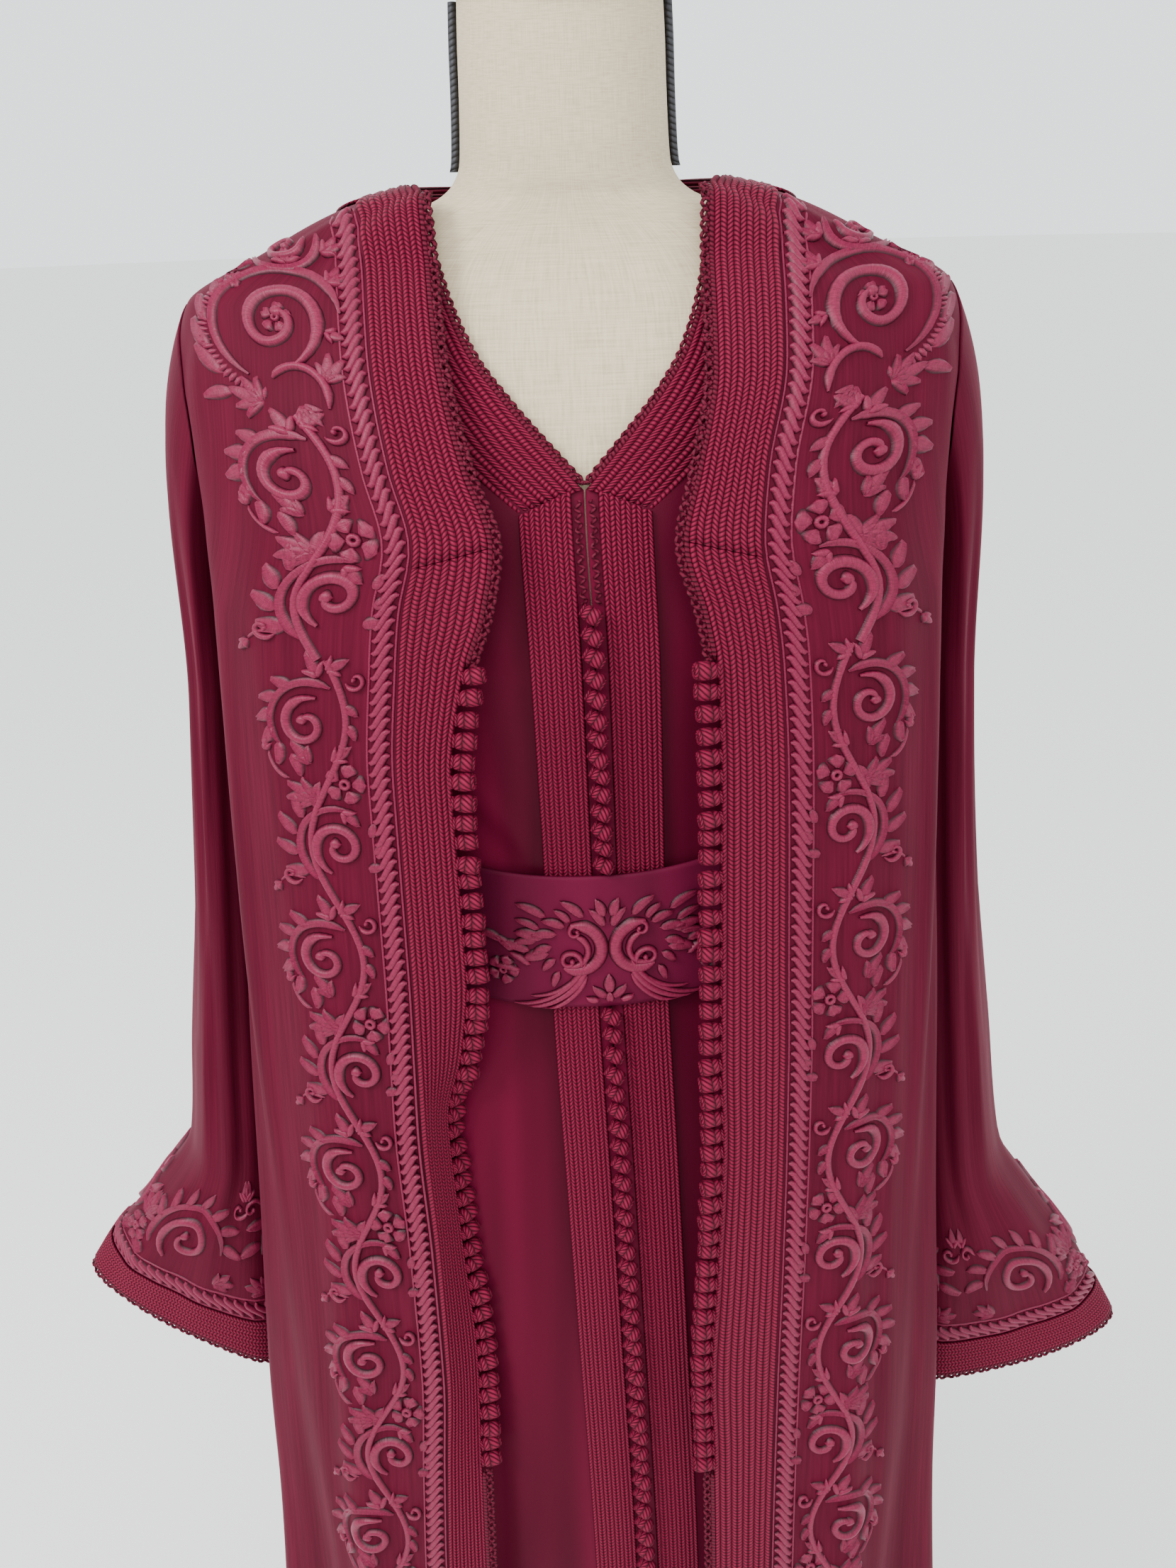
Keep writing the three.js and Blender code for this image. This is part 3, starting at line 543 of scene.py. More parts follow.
def makeWood():
    material, nodes, links = newMaterial("darkWood")
    shader = shaderOf(nodes)
    source = nodes.new("ShaderNodeTexCoord")
    node = nodes.new("ShaderNodeMapping")
    node.inputs["Scale"].default_value = (60, 60, 6)
    links.new(source.outputs["Object"], node.inputs["Vector"])
    grain = noiseNode(nodes, links, node.outputs["Vector"], 1.0, 5, 0.6)
    colour = rampNode(nodes, links, grain, [(0.3, linear(16, 12, 11)), (0.7, linear(44, 32, 27))])
    links.new(colour, shader.inputs["Base Color"])
    shader.inputs["Roughness"].default_value = 0.3
    shader.inputs["Coat Weight"].default_value = 0.35
    shader.inputs["Coat Roughness"].default_value = 0.15
    links.new(bumpNode(nodes, links, grain, 0.0003, 0.3), shader.inputs["Normal"])
    return material


def makeCordBlack():
    material, nodes, links = newMaterial("neckCord")
    shader = shaderOf(nodes)
    height = stitchHeight(nodes, links, 2, 1000 / 3.2, 0.8)
    # the colour follows the cords' height: painted shade in the grooves, lighter painted highlight on the
    # tops
    colour = rampNode(nodes, links, height, [(0.1, linear(6, 6, 8)), (0.9, linear(38, 38, 44))])
    links.new(colour, shader.inputs["Base Color"])
    shader.inputs["Roughness"].default_value = 0.6
    links.new(bumpNode(nodes, links, height, 0.0008, 0.9), shader.inputs["Normal"])
    return material


materials = {
    "crepe": makeCrepe(),
    "satin": makeSatin("satin", *satin["dress"]),
    "beltSatin": makeSatin("beltSatin", *satin["belt"]),
    "braid": makeBraid("braid", braid["cords"], braid["pitch"]),
    "cord": makeBraid("cordBraid", 2, 2.6, 0.8, 0.55),
    "knot": makeBraid("knotBraid", 5, 3.4, 1.6),
    "thread": makeThread(),
    "linen": makeLinen(),
    "wood": makeWood(),
    "neckCord": makeCordBlack(),
}
print("materials made")


# Making and finishing pieces
sewnOn = {}


def finishPiece(name, work, material, slotName, replaced=(), wall=None, on=None):
    mesh = bpy.data.meshes.new(name)
    work.to_mesh(mesh)
    work.free()
    for face in mesh.polygons:
        face.use_smooth = True
    mesh.materials.append(materials[material])
    piece = bpy.data.objects.new(name, mesh)
    bpy.context.collection.objects.link(piece)
    if wall:
        solid = piece.modifiers.new("wall", "SOLIDIFY")
        solid.thickness = wall * mm
        solid.offset = -1
    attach(piece, "root")
    if replaced:
        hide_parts(*replaced)
    if on:
        sewnOn.setdefault(on, []).append(piece)


def startWork():
    work = bmesh.new()
    work.loops.layers.uv.new("UVMap")
    return work


def addGrid(work, columns, rows, place, uvOf, closed=False, flip=False):
    # a grid whose points are moved to where place(u, v) says, u and v from 0 to 1
    uvLayer = work.loops.layers.uv.active
    made = bmesh.ops.create_grid(work, x_segments=columns, y_segments=rows, size=0.5)
    where = {vert: (vert.co.x + 0.5, vert.co.y + 0.5) for vert in made["verts"]}
    faces = {face for vert in made["verts"] for face in vert.link_faces}
    for vert, (u, v) in where.items():
        vert.co = place(u, v) * mm
    for face in faces:
        for loop in face.loops:
            loop[uvLayer].uv = uvOf(*where[loop.vert])
    if flip:
        bmesh.ops.reverse_faces(work, faces=list(faces))
    if closed:
        bmesh.ops.remove_doubles(work, verts=made["verts"], dist=1e-6)


def along(levels, v):
    # the value at share v of a list of values set at even shares
    place = v * (len(levels) - 1)
    i = min(int(place), len(levels) - 2)
    return levels[i] + (levels[i + 1] - levels[i]) * (place - i)


def measured(line, steps=90):
    # how far along a line each share of it lies, in metres
    points = [line(i / steps) for i in range(steps + 1)]
    lengths = [0]
    for before, after in zip(points, points[1:]):
        lengths.append(lengths[-1] + (after - before).length * mm)
    return lambda share: along(lengths, share)


# Dress form: torso, cap, pole and foot
form = {"top": 1526, "lean": 0.12, "steps": 96, "rows": 76}


def leaned(point):
    share = clamp((point.z - 1443) / (form["top"] - 1443), 0, 1)
    point.z += share * point.y * form["lean"]
    return point


def makeForm():
    work = startWork()
    levels = [
        770, 800, 850, 900, 960, 1020, 1080, 1150, 1215, 1260, 1300, 1346, 1365, 1380, 1392, 1402, 1410,
        1418, 1424, 1429, 1434, 1440, 1448, 1458, 1472, 1490, 1508, 1526,
    ]

    def place(u, v):
        return leaned(formPoint(360 * u - 180, along(levels, v)))

    def uvOf(u, v):
        return (u * 0.7, along(levels, v) * mm)

    addGrid(work, form["steps"], form["rows"], place, uvOf, closed=True)
    bmesh.ops.holes_fill(work, edges=[edge for edge in work.edges if edge.is_boundary], sides=0)
    bmesh.ops.recalc_face_normals(work, faces=work.faces)
    finishPiece("formTorso", work, "linen", "linen", ["form_torso"])


def spinProfile(name, profile, material, slotName, replaced, lift=0.0, lean=0.0):
    # turns a profile of radius and height round the stand's axis
    work = startWork()
    verts = [work.verts.new((radius * mm, 0, z * mm)) for radius, z in profile]
    edges = [work.edges.new(pair) for pair in zip(verts, verts[1:])]
    bmesh.ops.spin(
        work, geom=verts + edges, cent=(0, 0, 0), axis=(0, 0, 1), angle=2 * math.pi, steps=72,
        use_merge=True,
    )
    bmesh.ops.remove_doubles(work, verts=work.verts, dist=1e-6)
    bmesh.ops.recalc_face_normals(work, faces=work.faces)
    if lean:
        bmesh.ops.rotate(
            work, verts=work.verts, cent=(0, 0, 0), matrix=Matrix.Rotation(math.atan(lean), 3, "X")
        )
    bmesh.ops.translate(work, verts=work.verts, vec=(0, 0, lift * mm))
    finishPiece(name, work, material, slotName, replaced)


def makeStand():
    cap = [
        (0, 0), (57, 0), (58.6, 0.8), (60, 3), (60, 5), (58.4, 8.5), (52, 12), (40, 16), (26, 18.6),
        (17, 20.4), (11, 24), (10.4, 27), (12, 31), (15, 36), (15, 42), (12, 48), (7, 51.2), (0, 52),
    ]
    spinProfile("formCap", cap, "wood", "dark_wood", ["form_cap"], form["top"] + 0.3, form["lean"])
    foot = [
        (0, 0), (163, 0), (165, 2), (165, 12), (163, 14.5), (152, 21), (120, 26), (70, 30.5), (40, 34),
        (29, 42), (24.5, 52), (24, 58), (23, 60), (0, 60),
    ]
    spinProfile("standFoot", foot, "wood", "dark_wood", ["stand_foot"])
    pole = [(0, 60.3), (16, 60.3), (16, 120), (16, 765), (15, 769.7), (0, 769.7)]
    spinProfile("standPole", pole, "wood", "dark_wood", ["stand_pole"])


neckCord = {"bottom": 1440, "length": 83, "gap": 2.5, "halfWidth": 2.4, "halfDepth": 3.2}


def neckCords():
    for name, side in (("Right", -1), ("Left", 1)):
        work = startWork()

        def place(u, v):
            z = neckCord["bottom"] + neckCord["length"] * v
            centre = leaned(formPoint(side * 90, z))
            turn = 2 * math.pi * u
            out = side * (neckCord["gap"] + neckCord["halfWidth"] * math.cos(turn))
            return centre + Vector((out, side * neckCord["halfDepth"] * math.sin(turn), 0))

        addGrid(work, 14, 30, place, lambda u, v: (u, v * neckCord["length"] * mm), closed=True)
        bmesh.ops.holes_fill(work, edges=[edge for edge in work.edges if edge.is_boundary], sides=0)
        finishPiece("formCord" + name, work, "neckCord", "cord", ["form_cord_" + name.lower()])


makeForm()
makeStand()
neckCords()
print("form and stand made")


# Panels
sides = {"right": -1, "left": 1}
seamAngle = 0.1
caftan = {
    "wall": 1.3, "mitre": 1261, "droop": 10, "armpit": 1215, "tip": 1377,
    "levels": [
        30, 130, 230, 330, 430, 530, 630, 730, 830, 930, 1030, 1130, 1215, 1262, 1300, 1335, 1360, 1377,
        1390, 1401, 1413, 1424, 1431.5,
    ],
    "columns": 68, "rows": 225,
}
dress = {
    "wall": 1.2, "vee": 1285, "droop": 12, "armpit": 1235, "tip": 1405, "placket": (7, 35),
    "levels": [
        24, 130, 230, 330, 430, 530, 630, 730, 830, 900, 977, 1062, 1130, 1190, 1235, 1262, 1285, 1312,
        1340, 1365, 1385, 1405, 1416, 1427.5,
    ],
    "columns": 56, "rows": 210,
}


def reachAt(garment, armhole, z):
    if z <= garment["armpit"] or z >= garment["tip"]:
        return 90 - seamAngle
    return armhole(z)


def drawnAngle(start, full, end, share):
    return start + (full - start) * share - (full - end) * share * share


def braidRoll(u):
    return 1 - 0.9 * u if u < 0.5 else 0.55 - 0.98 * (u - 0.5)


@lru_cache(maxsize=None)
def caftanEdge(name, z):
    edges = caftanEdges[name]
    side = sides[name]
    start = angleAt(caftanSections, side * edges["edge"](z), z)
    end = angleAt(caftanSections, side * edges["braid"](z), z)
    return edges["edge"](z), edges["braid"](z), edges["roll"](z), start, end


def caftanFront(name, u, z):
    # u runs 0 to 1 across the braid, then 1 to 2 to the side seam or the armhole
    side = sides[name]
    edge, outer, roll, start, end = caftanEdge(name, z)
    if u <= 1:
        angle = angleAt(caftanSections, side * (edge + (outer - edge) * u), z)
        point = caftanPoint(angle, z)
        point.y += roll * max(0, braidRoll(u))
        return point
    reach = side * reachAt(caftan, caftanArmhole, z)
    angle = drawnAngle(end, side * (90 - seamAngle), reach, u - 1)
    point = caftanPoint(angle, z)
    point.y += roll * 0.06 * clamp(1 - 4 * (u - 1), 0, 1)
    return point


def caftanFrontNormal(name, u, z):
    low, high = max(u - 0.04, 0), u + 0.04
    across = caftanFront(name, high, z) - caftanFront(name, low, z)
    up = caftanFront(name, u, min(z + 1, 1433)) - caftanFront(name, u, z - 1)
    return (across.cross(up) * sides[name]).normalized()


def dressFrontPoint(name, u, z):
    # u runs 0 to 1 from the front edge to the braid's outer edge, then 1 to 2 to the side
    side = sides[name]
    middle = closureLine(z)
    if z >= dress["vee"]:
        edge, outer = neckline["edge"](z), neckline["braid"](z)
    else:
        edge, outer = 0.4, dress["placket"][1]
    rise = clamp((z - 1330) / 100, 0, 1)
    middle *= 1 - rise
    if u <= 1:
        distance = middle + side * (edge + (outer - edge) * u)
        return dressPoint(angleAt(dressSections, distance, z), z)
    start = angleAt(dressSections, middle + side * outer, z)
    reach = side * reachAt(dress, dressArmhole, z)
    return dressPoint(drawnAngle(start, side * (90 - seamAngle), reach, u - 1), z)


def dressFrontNormal(name, u, z):
    across = dressFrontPoint(name, u + 0.04, z) - dressFrontPoint(name, max(u - 0.04, 0), z)
    up = dressFrontPoint(name, u, min(z + 1, 1430)) - dressFrontPoint(name, u, z - 1)
    return (across.cross(up) * sides[name]).normalized()


def panelShare(u):
    # more of the columns lie on the braid than its width asks for
    return u / 0.22 if u < 0.22 else 1 + (u - 0.22) / 0.78


def makeCaftanFronts():
    for name, side in sides.items():
        work = startWork()
        addGrid(
            work, caftan["columns"], caftan["rows"],
            lambda u, v: caftanFront(name, panelShare(u), along(caftan["levels"], v)),
            lambda u, v: (u * 0.34, along(caftan["levels"], v) * mm),
            flip=side < 0,
        )
        finishPiece(
            "caftanFront" + name.title(), work, "crepe", "crepe", ["caftan_front_" + name], caftan["wall"]
        )


def makeDressFronts():
    for name, side in sides.items():
        work = startWork()
        addGrid(
            work, dress["columns"], dress["rows"],
            lambda u, v: dressFrontPoint(name, panelShare(u), along(dress["levels"], v)),
            lambda u, v: (u * 0.32, along(dress["levels"], v) * mm),
            flip=side < 0,
        )
        finishPiece(
            "dressFront" + name.title(), work, "satin", "satin", ["dress_front_" + name], dress["wall"]
        )


def backPlace(surface, garment, armhole, rows):
    # rows are pairs of heights: at the seams and at the centre back
    seams, centres = [row[0] for row in rows], [row[1] for row in rows]

    def place(u, v):
        seam, centre = along(seams, v), along(centres, v)
        share = 2 * u - 1
        angle = 180 + math.copysign(
            drawnAngle(0, 90 - seamAngle, reachAt(garment, armhole, seam), abs(share)), share
        )
        across = abs(math.cos(math.radians(angle))) ** 0.7
        return surface(angle - 360 if angle > 180 else angle, seam + (centre - seam) * across)

    return place


caftanBackRows = [(z, z) for z in caftan["levels"][:19]]
caftanBackRows += [(1405, 1399), (1424.5, 1409), (1428, 1420), (1431.5, 1431.5)]
dressBackRows = [(z, z) for z in dress["levels"][:15] + [1270, 1310, 1346, 1378, 1392]]
dressBackRows += [(1405, 1400), (1420.5, 1407), (1424, 1417), (1427.5, 1427.5)]
backPanel = {"columns": 88, "rows": 175}


def makeBacks():
    for label, surface, garment, armhole, rows, material, width in (
        ("caftanBack", caftanPoint, caftan, caftanArmhole, caftanBackRows, "crepe", 0.86),
        ("dressBack", dressPoint, dress, dressArmhole, dressBackRows, "satin", 0.82),
    ):
        place = backPlace(surface, garment, armhole, rows)
        work = startWork()
        seams = [row[0] for row in rows]
        addGrid(
            work, backPanel["columns"], backPanel["rows"], place,
            lambda u, v: (u * width, along(seams, v) * mm),
        )
        node = label.replace("Back", "_back")
        finishPiece(label, work, material, material, [node], garment["wall"])


makeCaftanFronts()
makeDressFronts()
makeBacks()
print("panels made")


# Sleeves
sleeve = {"top": 1150, "clear": 1.3, "steps": 72, "rows": 135, "foldTop": 830, "widest": -0.6}
sleeveSections = {
    "right": makeSections(
        [664, 695, 729, 765, 820, 900, 1000, 1082, 1150],
        out=[303, 294, 283, 271, 254, 247, 238, 231, 225], back=[8, 10, 11, 12, 12, 12, 11, 9, 7],
        halfWidth=[72, 66, 57, 47, 32, 28, 23.5, 21.5, 20], halfDepth=[41, 50, 58, 62, 62, 58, 55, 54, 54],
        tilt=[38, 29, 18, 8, 1, 0, 0, 0, 0],
    ),
    "left": makeSections(
        [610, 645, 685, 736, 795, 900, 1000, 1082, 1150],
        out=[307, 299, 289, 272, 254, 244, 235.5, 229.5, 225], back=[10, 11, 11, 12, 12, 12, 11, 9, 7],
        halfWidth=[82, 74, 65, 49, 33, 27.5, 23.5, 21, 20], halfDepth=[42, 49, 58, 68, 64, 58, 55, 54, 54],
        tilt=[14, 10, 7, 2, 0, 0, 0, 0, 0],
    ),
}
sleeveHem = {"right": 664, "left": 610}
# creases: angle round the sleeve and height, twice, then breadth and depth
sleeveCreases = {
    "right": [
        (60, 1320, 84, 720, 9, -4), (95, 1290, 60, 800, 7, 3), (30, 1330, 40, 900, 8, -3),
        (120, 1200, 105, 665, 8, -4), (15, 1000, 10, 700, 9, 3), (200, 1200, 215, 720, 12, -4),
        (290, 1320, 300, 760, 10, -4), (330, 1250, 320, 700, 10, 3), (75, 800, 80, 664, 10, -4),
        (45, 790, 48, 664, 9, 3),
    ],
    "left": [
        (300, 1320, 276, 700, 9, -4), (265, 1290, 300, 780, 7, 3), (330, 1330, 318, 880, 8, -3),
        (240, 1200, 255, 611, 8, -4), (345, 1000, 350, 680, 9, 3), (160, 1200, 145, 700, 12, -4),
        (70, 1320, 60, 740, 10, -4), (30, 1250, 40, 680, 10, 3), (285, 780, 280, 610, 10, -4),
        (315, 770, 312, 610, 9, 3),
    ],
}


def flatterDepth(across, halfDepth):
    # towards the hem a sleeve lies flatter, widest nearer the body than the ring's centre
    widest = sleeve["widest"]
    reach = 1 + widest if across < widest else 1 - widest
    return halfDepth * math.sqrt(max(0, 1 - ((across - widest) / reach) ** 2))


def sleeveRing(name, angle, z):
    side, section = sides[name], sleeveSections[name]
    across, around = math.cos(math.radians(angle)), math.sin(math.radians(angle))
    fold = clamp((sleeve["foldTop"] - z) / (sleeve["foldTop"] - sleeveHem[name]), 0, 1)
    push = creasePush(sleeveCreases[name], angle % 360, z)
    halfDepth = section["halfDepth"](z)
    depth = halfDepth * abs(around) * (1 - fold) + flatterDepth(across, halfDepth) * fold
    depth = math.copysign(depth, around) + push * around * (1 - 0.5 * fold)
    return Vector((
        side * (section["out"](z) + (section["halfWidth"](z) + push) * across),
        section["back"](z) + side * depth,
        z + section["tilt"](z) * across,
    ))


def armholePoint(name, angle):
    side = sides[name]
    drop = (1 - math.cos(math.radians(angle))) / 2
    clear = sleeve["clear"]
    z = caftan["tip"] - clear - (caftan["tip"] - caftan["armpit"] - 2 * clear) * drop
    reach = caftanArmhole(z)
    isBack = side * math.sin(math.radians(angle)) > 0
    point = caftanPoint(side * (180 - reach if isBack else reach), z)
    point.x += side * clear
    return point


@lru_cache(maxsize=None)
def sleeveSpan(name, angle):
    side = sides[name]
    start, end = armholePoint(name, angle), sleeveRing(name, angle, sleeve["top"])
    isTop = (1 + math.cos(math.radians(angle))) / 2
    leave = Vector((side * (0.1 + 0.38 * isTop), 0, -1)).normalized()
    arrive = (sleeveRing(name, angle, sleeve["top"] - 20) - end).normalized()
    return start, end, leave, arrive, (start - end).length


def sleevePoint(name, angle, z):
    if z <= sleeve["top"]:
        return sleeveRing(name, angle, z)
    start, end, leave, arrive, span = sleeveSpan(name, angle)
    t = (caftan["tip"] - z) / (caftan["tip"] - sleeve["top"])
    rise = t * t * (3 - 2 * t)
    point = start * (1 - rise) + end * rise
    point += leave * (span * t * (1 - t) ** 2) - arrive * (span * t * t * (1 - t))
    middle = (start + end) / 2
    outward = Vector((point.x - sides[name] * 215, point.y - middle.y * 0.2, 0))
    push = 0
    if t < 1:
        push = creasePush(sleeveCreases[name], angle % 360, z) * math.sin(math.pi * clamp(t, 0, 1))
    return point + outward.normalized() * push * 0.6


def sleeveNormal(name, angle, z):
    across = sleevePoint(name, angle + 2, z) - sleevePoint(name, angle - 2, z)
    up = sleevePoint(name, angle, min(z + 1, 1376)) - sleevePoint(name, angle, z - 1)
    return across.cross(up).normalized()


def makeSleeves():
    for name, side in sides.items():
        hem = sleeveHem[name]
        levels = [
            hem, hem + 30, hem + 65, hem + 110, 820, 880, 940, 1000, 1060, 1120, 1150, 1190, 1235, 1280,
            1320, 1350, 1377,
        ]
        work = startWork()
        addGrid(
            work, sleeve["steps"], sleeve["rows"],
            lambda u, v: sleevePoint(name, round(360 * u, 3) % 360, along(levels, v)),
            lambda u, v: (u * 0.42, along(levels, v) * mm),
            closed=True,
        )
        finishPiece(
            "caftanSleeve" + name.title(), work, "crepe", "crepe", ["caftan_sleeve_" + name], caftan["wall"]
        )


makeSleeves()
print("sleeves made")


# Braid bands: rows of cords with a thin piping at each edge
band = {
    "lift": 0.3, "neckLift": 0.7, "base": 1.0, "cord": 1.1, "piping": 1.5, "wall": 1.0,
    "columns": 50, "frontRows": 200, "neckRows": 50,
    "placketColumns": 40, "placketRows": 190, "backColumns": 72,
}


def bandHeight(u):
    rib = abs(math.sin(math.pi * braid["cords"] * u)) ** 0.7
    height = band["base"] + band["cord"] * rib
    edge = min(u, 1 - u)
    if edge < 0.035:
        height = band["base"] * 0.6 + band["piping"] * math.sin(math.pi * clamp(edge / 0.035, 0, 1) * 0.5)
    return height


def makeCaftanBands():
    for name, side in sides.items():
        title = name.title()
        mitre, droop = caftan["mitre"], caftan["droop"]
        runs = {
            "caftanFrontBraid": (
                [30, 230, 430, 630, 830, 1030, 1150, 1230, mitre - 0.4], "caftan_frontbraid_",
                band["frontRows"],
            ),
            "caftanNeckBraid": (
                [mitre, 1300, 1340, 1377, 1395, 1410, 1422, 1431.5], "caftan_neckbraid_", band["neckRows"]
            ),
        }
        for label, (levels, node, rows) in runs.items():
            work = startWork()
            lift = band["lift"] + (band["neckLift"] if "Neck" in label else 0)

            def place(u, v):
                z = along(levels, v)
                z -= droop * u * clamp(1 - abs(z - mitre) / 70, 0, 1)
                point = caftanFront(name, u, z)
                return point + caftanFrontNormal(name, u, z) * (lift + bandHeight(u))

            length = measured(lambda v: place(0.5, v))
            addGrid(work, band["columns"], rows, place, lambda u, v: (u, length(v)), flip=side < 0)
            finishPiece(
                label + title, work, "braid", "braid", [node + name], band["wall"], "caftanFront" + title
            )


def makeDressBands():
    vee, droop = dress["vee"], dress["droop"]
    inner, outer = dress["placket"]
    for name, side in sides.items():
        title = name.title()
        work = startWork()
        levels = [24, 230, 430, 630, 830, 1000, 1150, 1240, vee - 0.4]

        def placket(u, v):
            z = along(levels, v)
            z -= droop * u * clamp(1 - abs(z - vee) / 70, 0, 1)
            share = (inner + (outer - inner) * u - 0.4) / (outer - 0.4)
            return dressFrontPoint(name, share, z) + dressFrontNormal(name, share, z) * (
                band["lift"] + bandHeight(u)
            )

        length = measured(lambda v: placket(0.5, v))
        addGrid(
            work, band["placketColumns"], band["placketRows"], placket, lambda u, v: (u, length(v)),
            flip=side < 0,
        )
        finishPiece(
            "dressPlacket" + title, work, "braid", "braid", ["dress_placket_" + name], band["wall"],
            "dressFront" + title,
        )
        work = startWork()
        neckLevels = [vee, 1298, 1312, 1330, 1352, 1380, 1395, 1405, 1415, 1422, 1427.5]

        def neck(u, v):
            z = along(neckLevels, v)
            drooped = z - droop * u * clamp(1 - abs(z - vee) / 30, 0, 1)
            point = dressFrontPoint(name, u, z) + dressFrontNormal(name, u, z) * (
                band["lift"] + band["neckLift"] + bandHeight(u)
            )
            point.z += drooped - z
            return point

        neckLength = measured(lambda v: neck(0.5, v))
        addGrid(
            work, band["columns"], band["neckRows"], neck, lambda u, v: (u, neckLength(v)), flip=side < 0
        )
        finishPiece(
            "dressNeckBraid" + title, work, "braid", "braid", ["dress_neckbraid_" + name], band["wall"],
            "dressFront" + title,
        )


def makeBackNeckBands():
    for label, node, surface, garment, armhole, rows, length in (
        (
            "caftanNeckBraidBack", "caftan_neckbraid_back", caftanPoint, caftan, caftanArmhole,
            caftanBackRows[-3:], 0.30,
        ),
        (
            "dressNeckBraidBack", "dress_neckbraid_back", dressPoint, dress, dressArmhole,
            dressBackRows[-3:], 0.29,
        ),
    ):
        place = backPlace(surface, garment, armhole, rows)
        work = startWork()

        def raised(u, v):
            point = place(u, v)
            across = place(min(u + 0.01, 1), v) - place(max(u - 0.01, 0), v)
            up = place(u, min(v + 0.02, 1)) - place(u, max(v - 0.02, 0))
            return point + across.cross(up).normalized() * (band["lift"] + bandHeight(v))

        addGrid(work, band["backColumns"], band["columns"], raised, lambda u, v: (v, u * length))
        finishPiece(label, work, "braid", "braid", [node], band["wall"], label.replace("NeckBraid", ""))


cuff = {
    "columns": 120, "rows": 40, "braid": 30, "measured": 60, "sprays": 4,
    "shift": {"right": 25, "left": -25},
}


def makeCuffBands():
    for name in sides:
        hem = sleeveHem[name]
        work = startWork()

        def place(u, v):
            angle = round(360 * u, 3) % 360
            z = hem + cuff["braid"] * v
            return sleevePoint(name, angle, z) + sleeveNormal(name, angle, z) * (
                band["lift"] + bandHeight(v)
            )

        length = measured(lambda u: place(u, 0.5))
        addGrid(work, cuff["columns"], cuff["rows"], place, lambda u, v: (v, length(u)), closed=True)
        title = name.title()
        finishPiece(
            "caftanCuffBraid" + title, work, "braid", "braid", ["caftan_cuffbraid_" + name], band["wall"],
            "caftanSleeve" + title,
        )


makeCaftanBands()
makeDressBands()
makeBackNeckBands()
makeCuffBands()
print("braid bands made")

# Belt: a stiff strip round the waist, its ends overlapping at the back
belt = {
    "bottom": 977, "top": 1062, "halfWidth": 147, "front": 114.4, "back": 115.5,
    "narrower": {"side": 3, "front": 2, "back": 8},
    "wall": 2.4, "lap": 14, "lift": 4.2, "rise": 12, "dip": 55, "columns": 180, "rows": 28,
}


def beltSurface(angle, z):
    share = (z - belt["bottom"]) / (belt["top"] - belt["bottom"])
    turn = math.radians(angle)
    face = "front" if math.cos(turn) > 0 else "back"
    halfWidth = belt["halfWidth"] - belt["narrower"]["side"] * share
    depth = belt[face] - belt["narrower"][face] * share
    # it rides up towards the sides
    height = z + belt["rise"] * (1 - hump(angle / belt["dip"]))
    return Vector((halfWidth * powered(math.sin(turn)), -depth * powered(math.cos(turn)), height))


def beltPoint(angle, z, height):
    lift = belt["lift"] * clamp((angle - 130) / 30, 0, 1)
    return beltSurface(angle, z) + normalOf(beltSurface, angle, z) * (height + lift)


def makeBelt():
    work = startWork()

    def place(u, v):
        angle = -180 - belt["lap"] / 2 + (360 + belt["lap"]) * u
        z = belt["bottom"] + (belt["top"] - belt["bottom"]) * v
        edge = min(v, 1 - v) * (belt["top"] - belt["bottom"])
        piping = 0.5 * math.exp(-(((edge - 1.6) / 1.3) ** 2))
        return beltPoint(angle, z, belt["wall"] - 0.5 + piping)

    addGrid(work, belt["columns"], belt["rows"], place, lambda u, v: (u * 0.86, v * 0.085))
    finishPiece("beltBand", work, "beltSatin", "satin", ["belt"], belt["wall"] - 0.6)


makeBelt()
print("belt made")


# Cloth laid out flat: points and normals at even steps across and up, and between them
def makeLattice(sample, across, up):
    # across and up are first, last and step in millimetres
    columns = round((across[1] - across[0]) / across[2]) + 1
    levels = round((up[1] - up[0]) / up[2]) + 1
    nodes = [
        [sample(across[0] + i * across[2], up[0] + j * up[2]) for j in range(levels)]
        for i in range(columns)
    ]

    def at(a, s):
        x = clamp((a - across[0]) / across[2], 0, columns - 1.001)
        y = clamp((s - up[0]) / up[2], 0, levels - 1.001)
        i, j = int(x), int(y)
        x, y = x - i, y - j
        return tuple(
            (nodes[i][j][k] * (1 - x) + nodes[i + 1][j][k] * x) * (1 - y)
            + (nodes[i][j + 1][k] * (1 - x) + nodes[i + 1][j + 1][k] * x) * y
            for k in (0, 1)
        )

    return at


def between(lengths, heights, length):
    i = clamp(bisect(lengths, length) - 1, 0, len(lengths) - 2)
    share = clamp((length - lengths[i]) / (lengths[i + 1] - lengths[i]), 0, 1)
    return heights[i] + (heights[i + 1] - heights[i]) * share


@lru_cache(maxsize=None)
def columnRun(name, a):
    # cloth lengths from the mitre, and their heights, along a line at a from the braid
    outer = caftanEdges[name]["braid"]

    def pointAt(z):
        return caftanPoint(angleAt(caftanSections, sides[name] * (outer(z) + a), z), z)

    runs = []
    for step in (-4, 2):
        z, length, point, run = caftan["mitre"], 0, pointAt(caftan["mitre"]), []
        while 34 < z + step < 1430 and outer(z + step) + a < 0.985 * caftanSections["halfWidth"](z + step):
            z += step
            after = pointAt(z)
            length += math.copysign((after - point).length, step)
            point = after
            run.append((length, z))
        runs.append(run)
    run = runs[0][::-1] + [(0, caftan["mitre"])] + runs[1]
    return [length for length, z in run], [z for length, z in run]


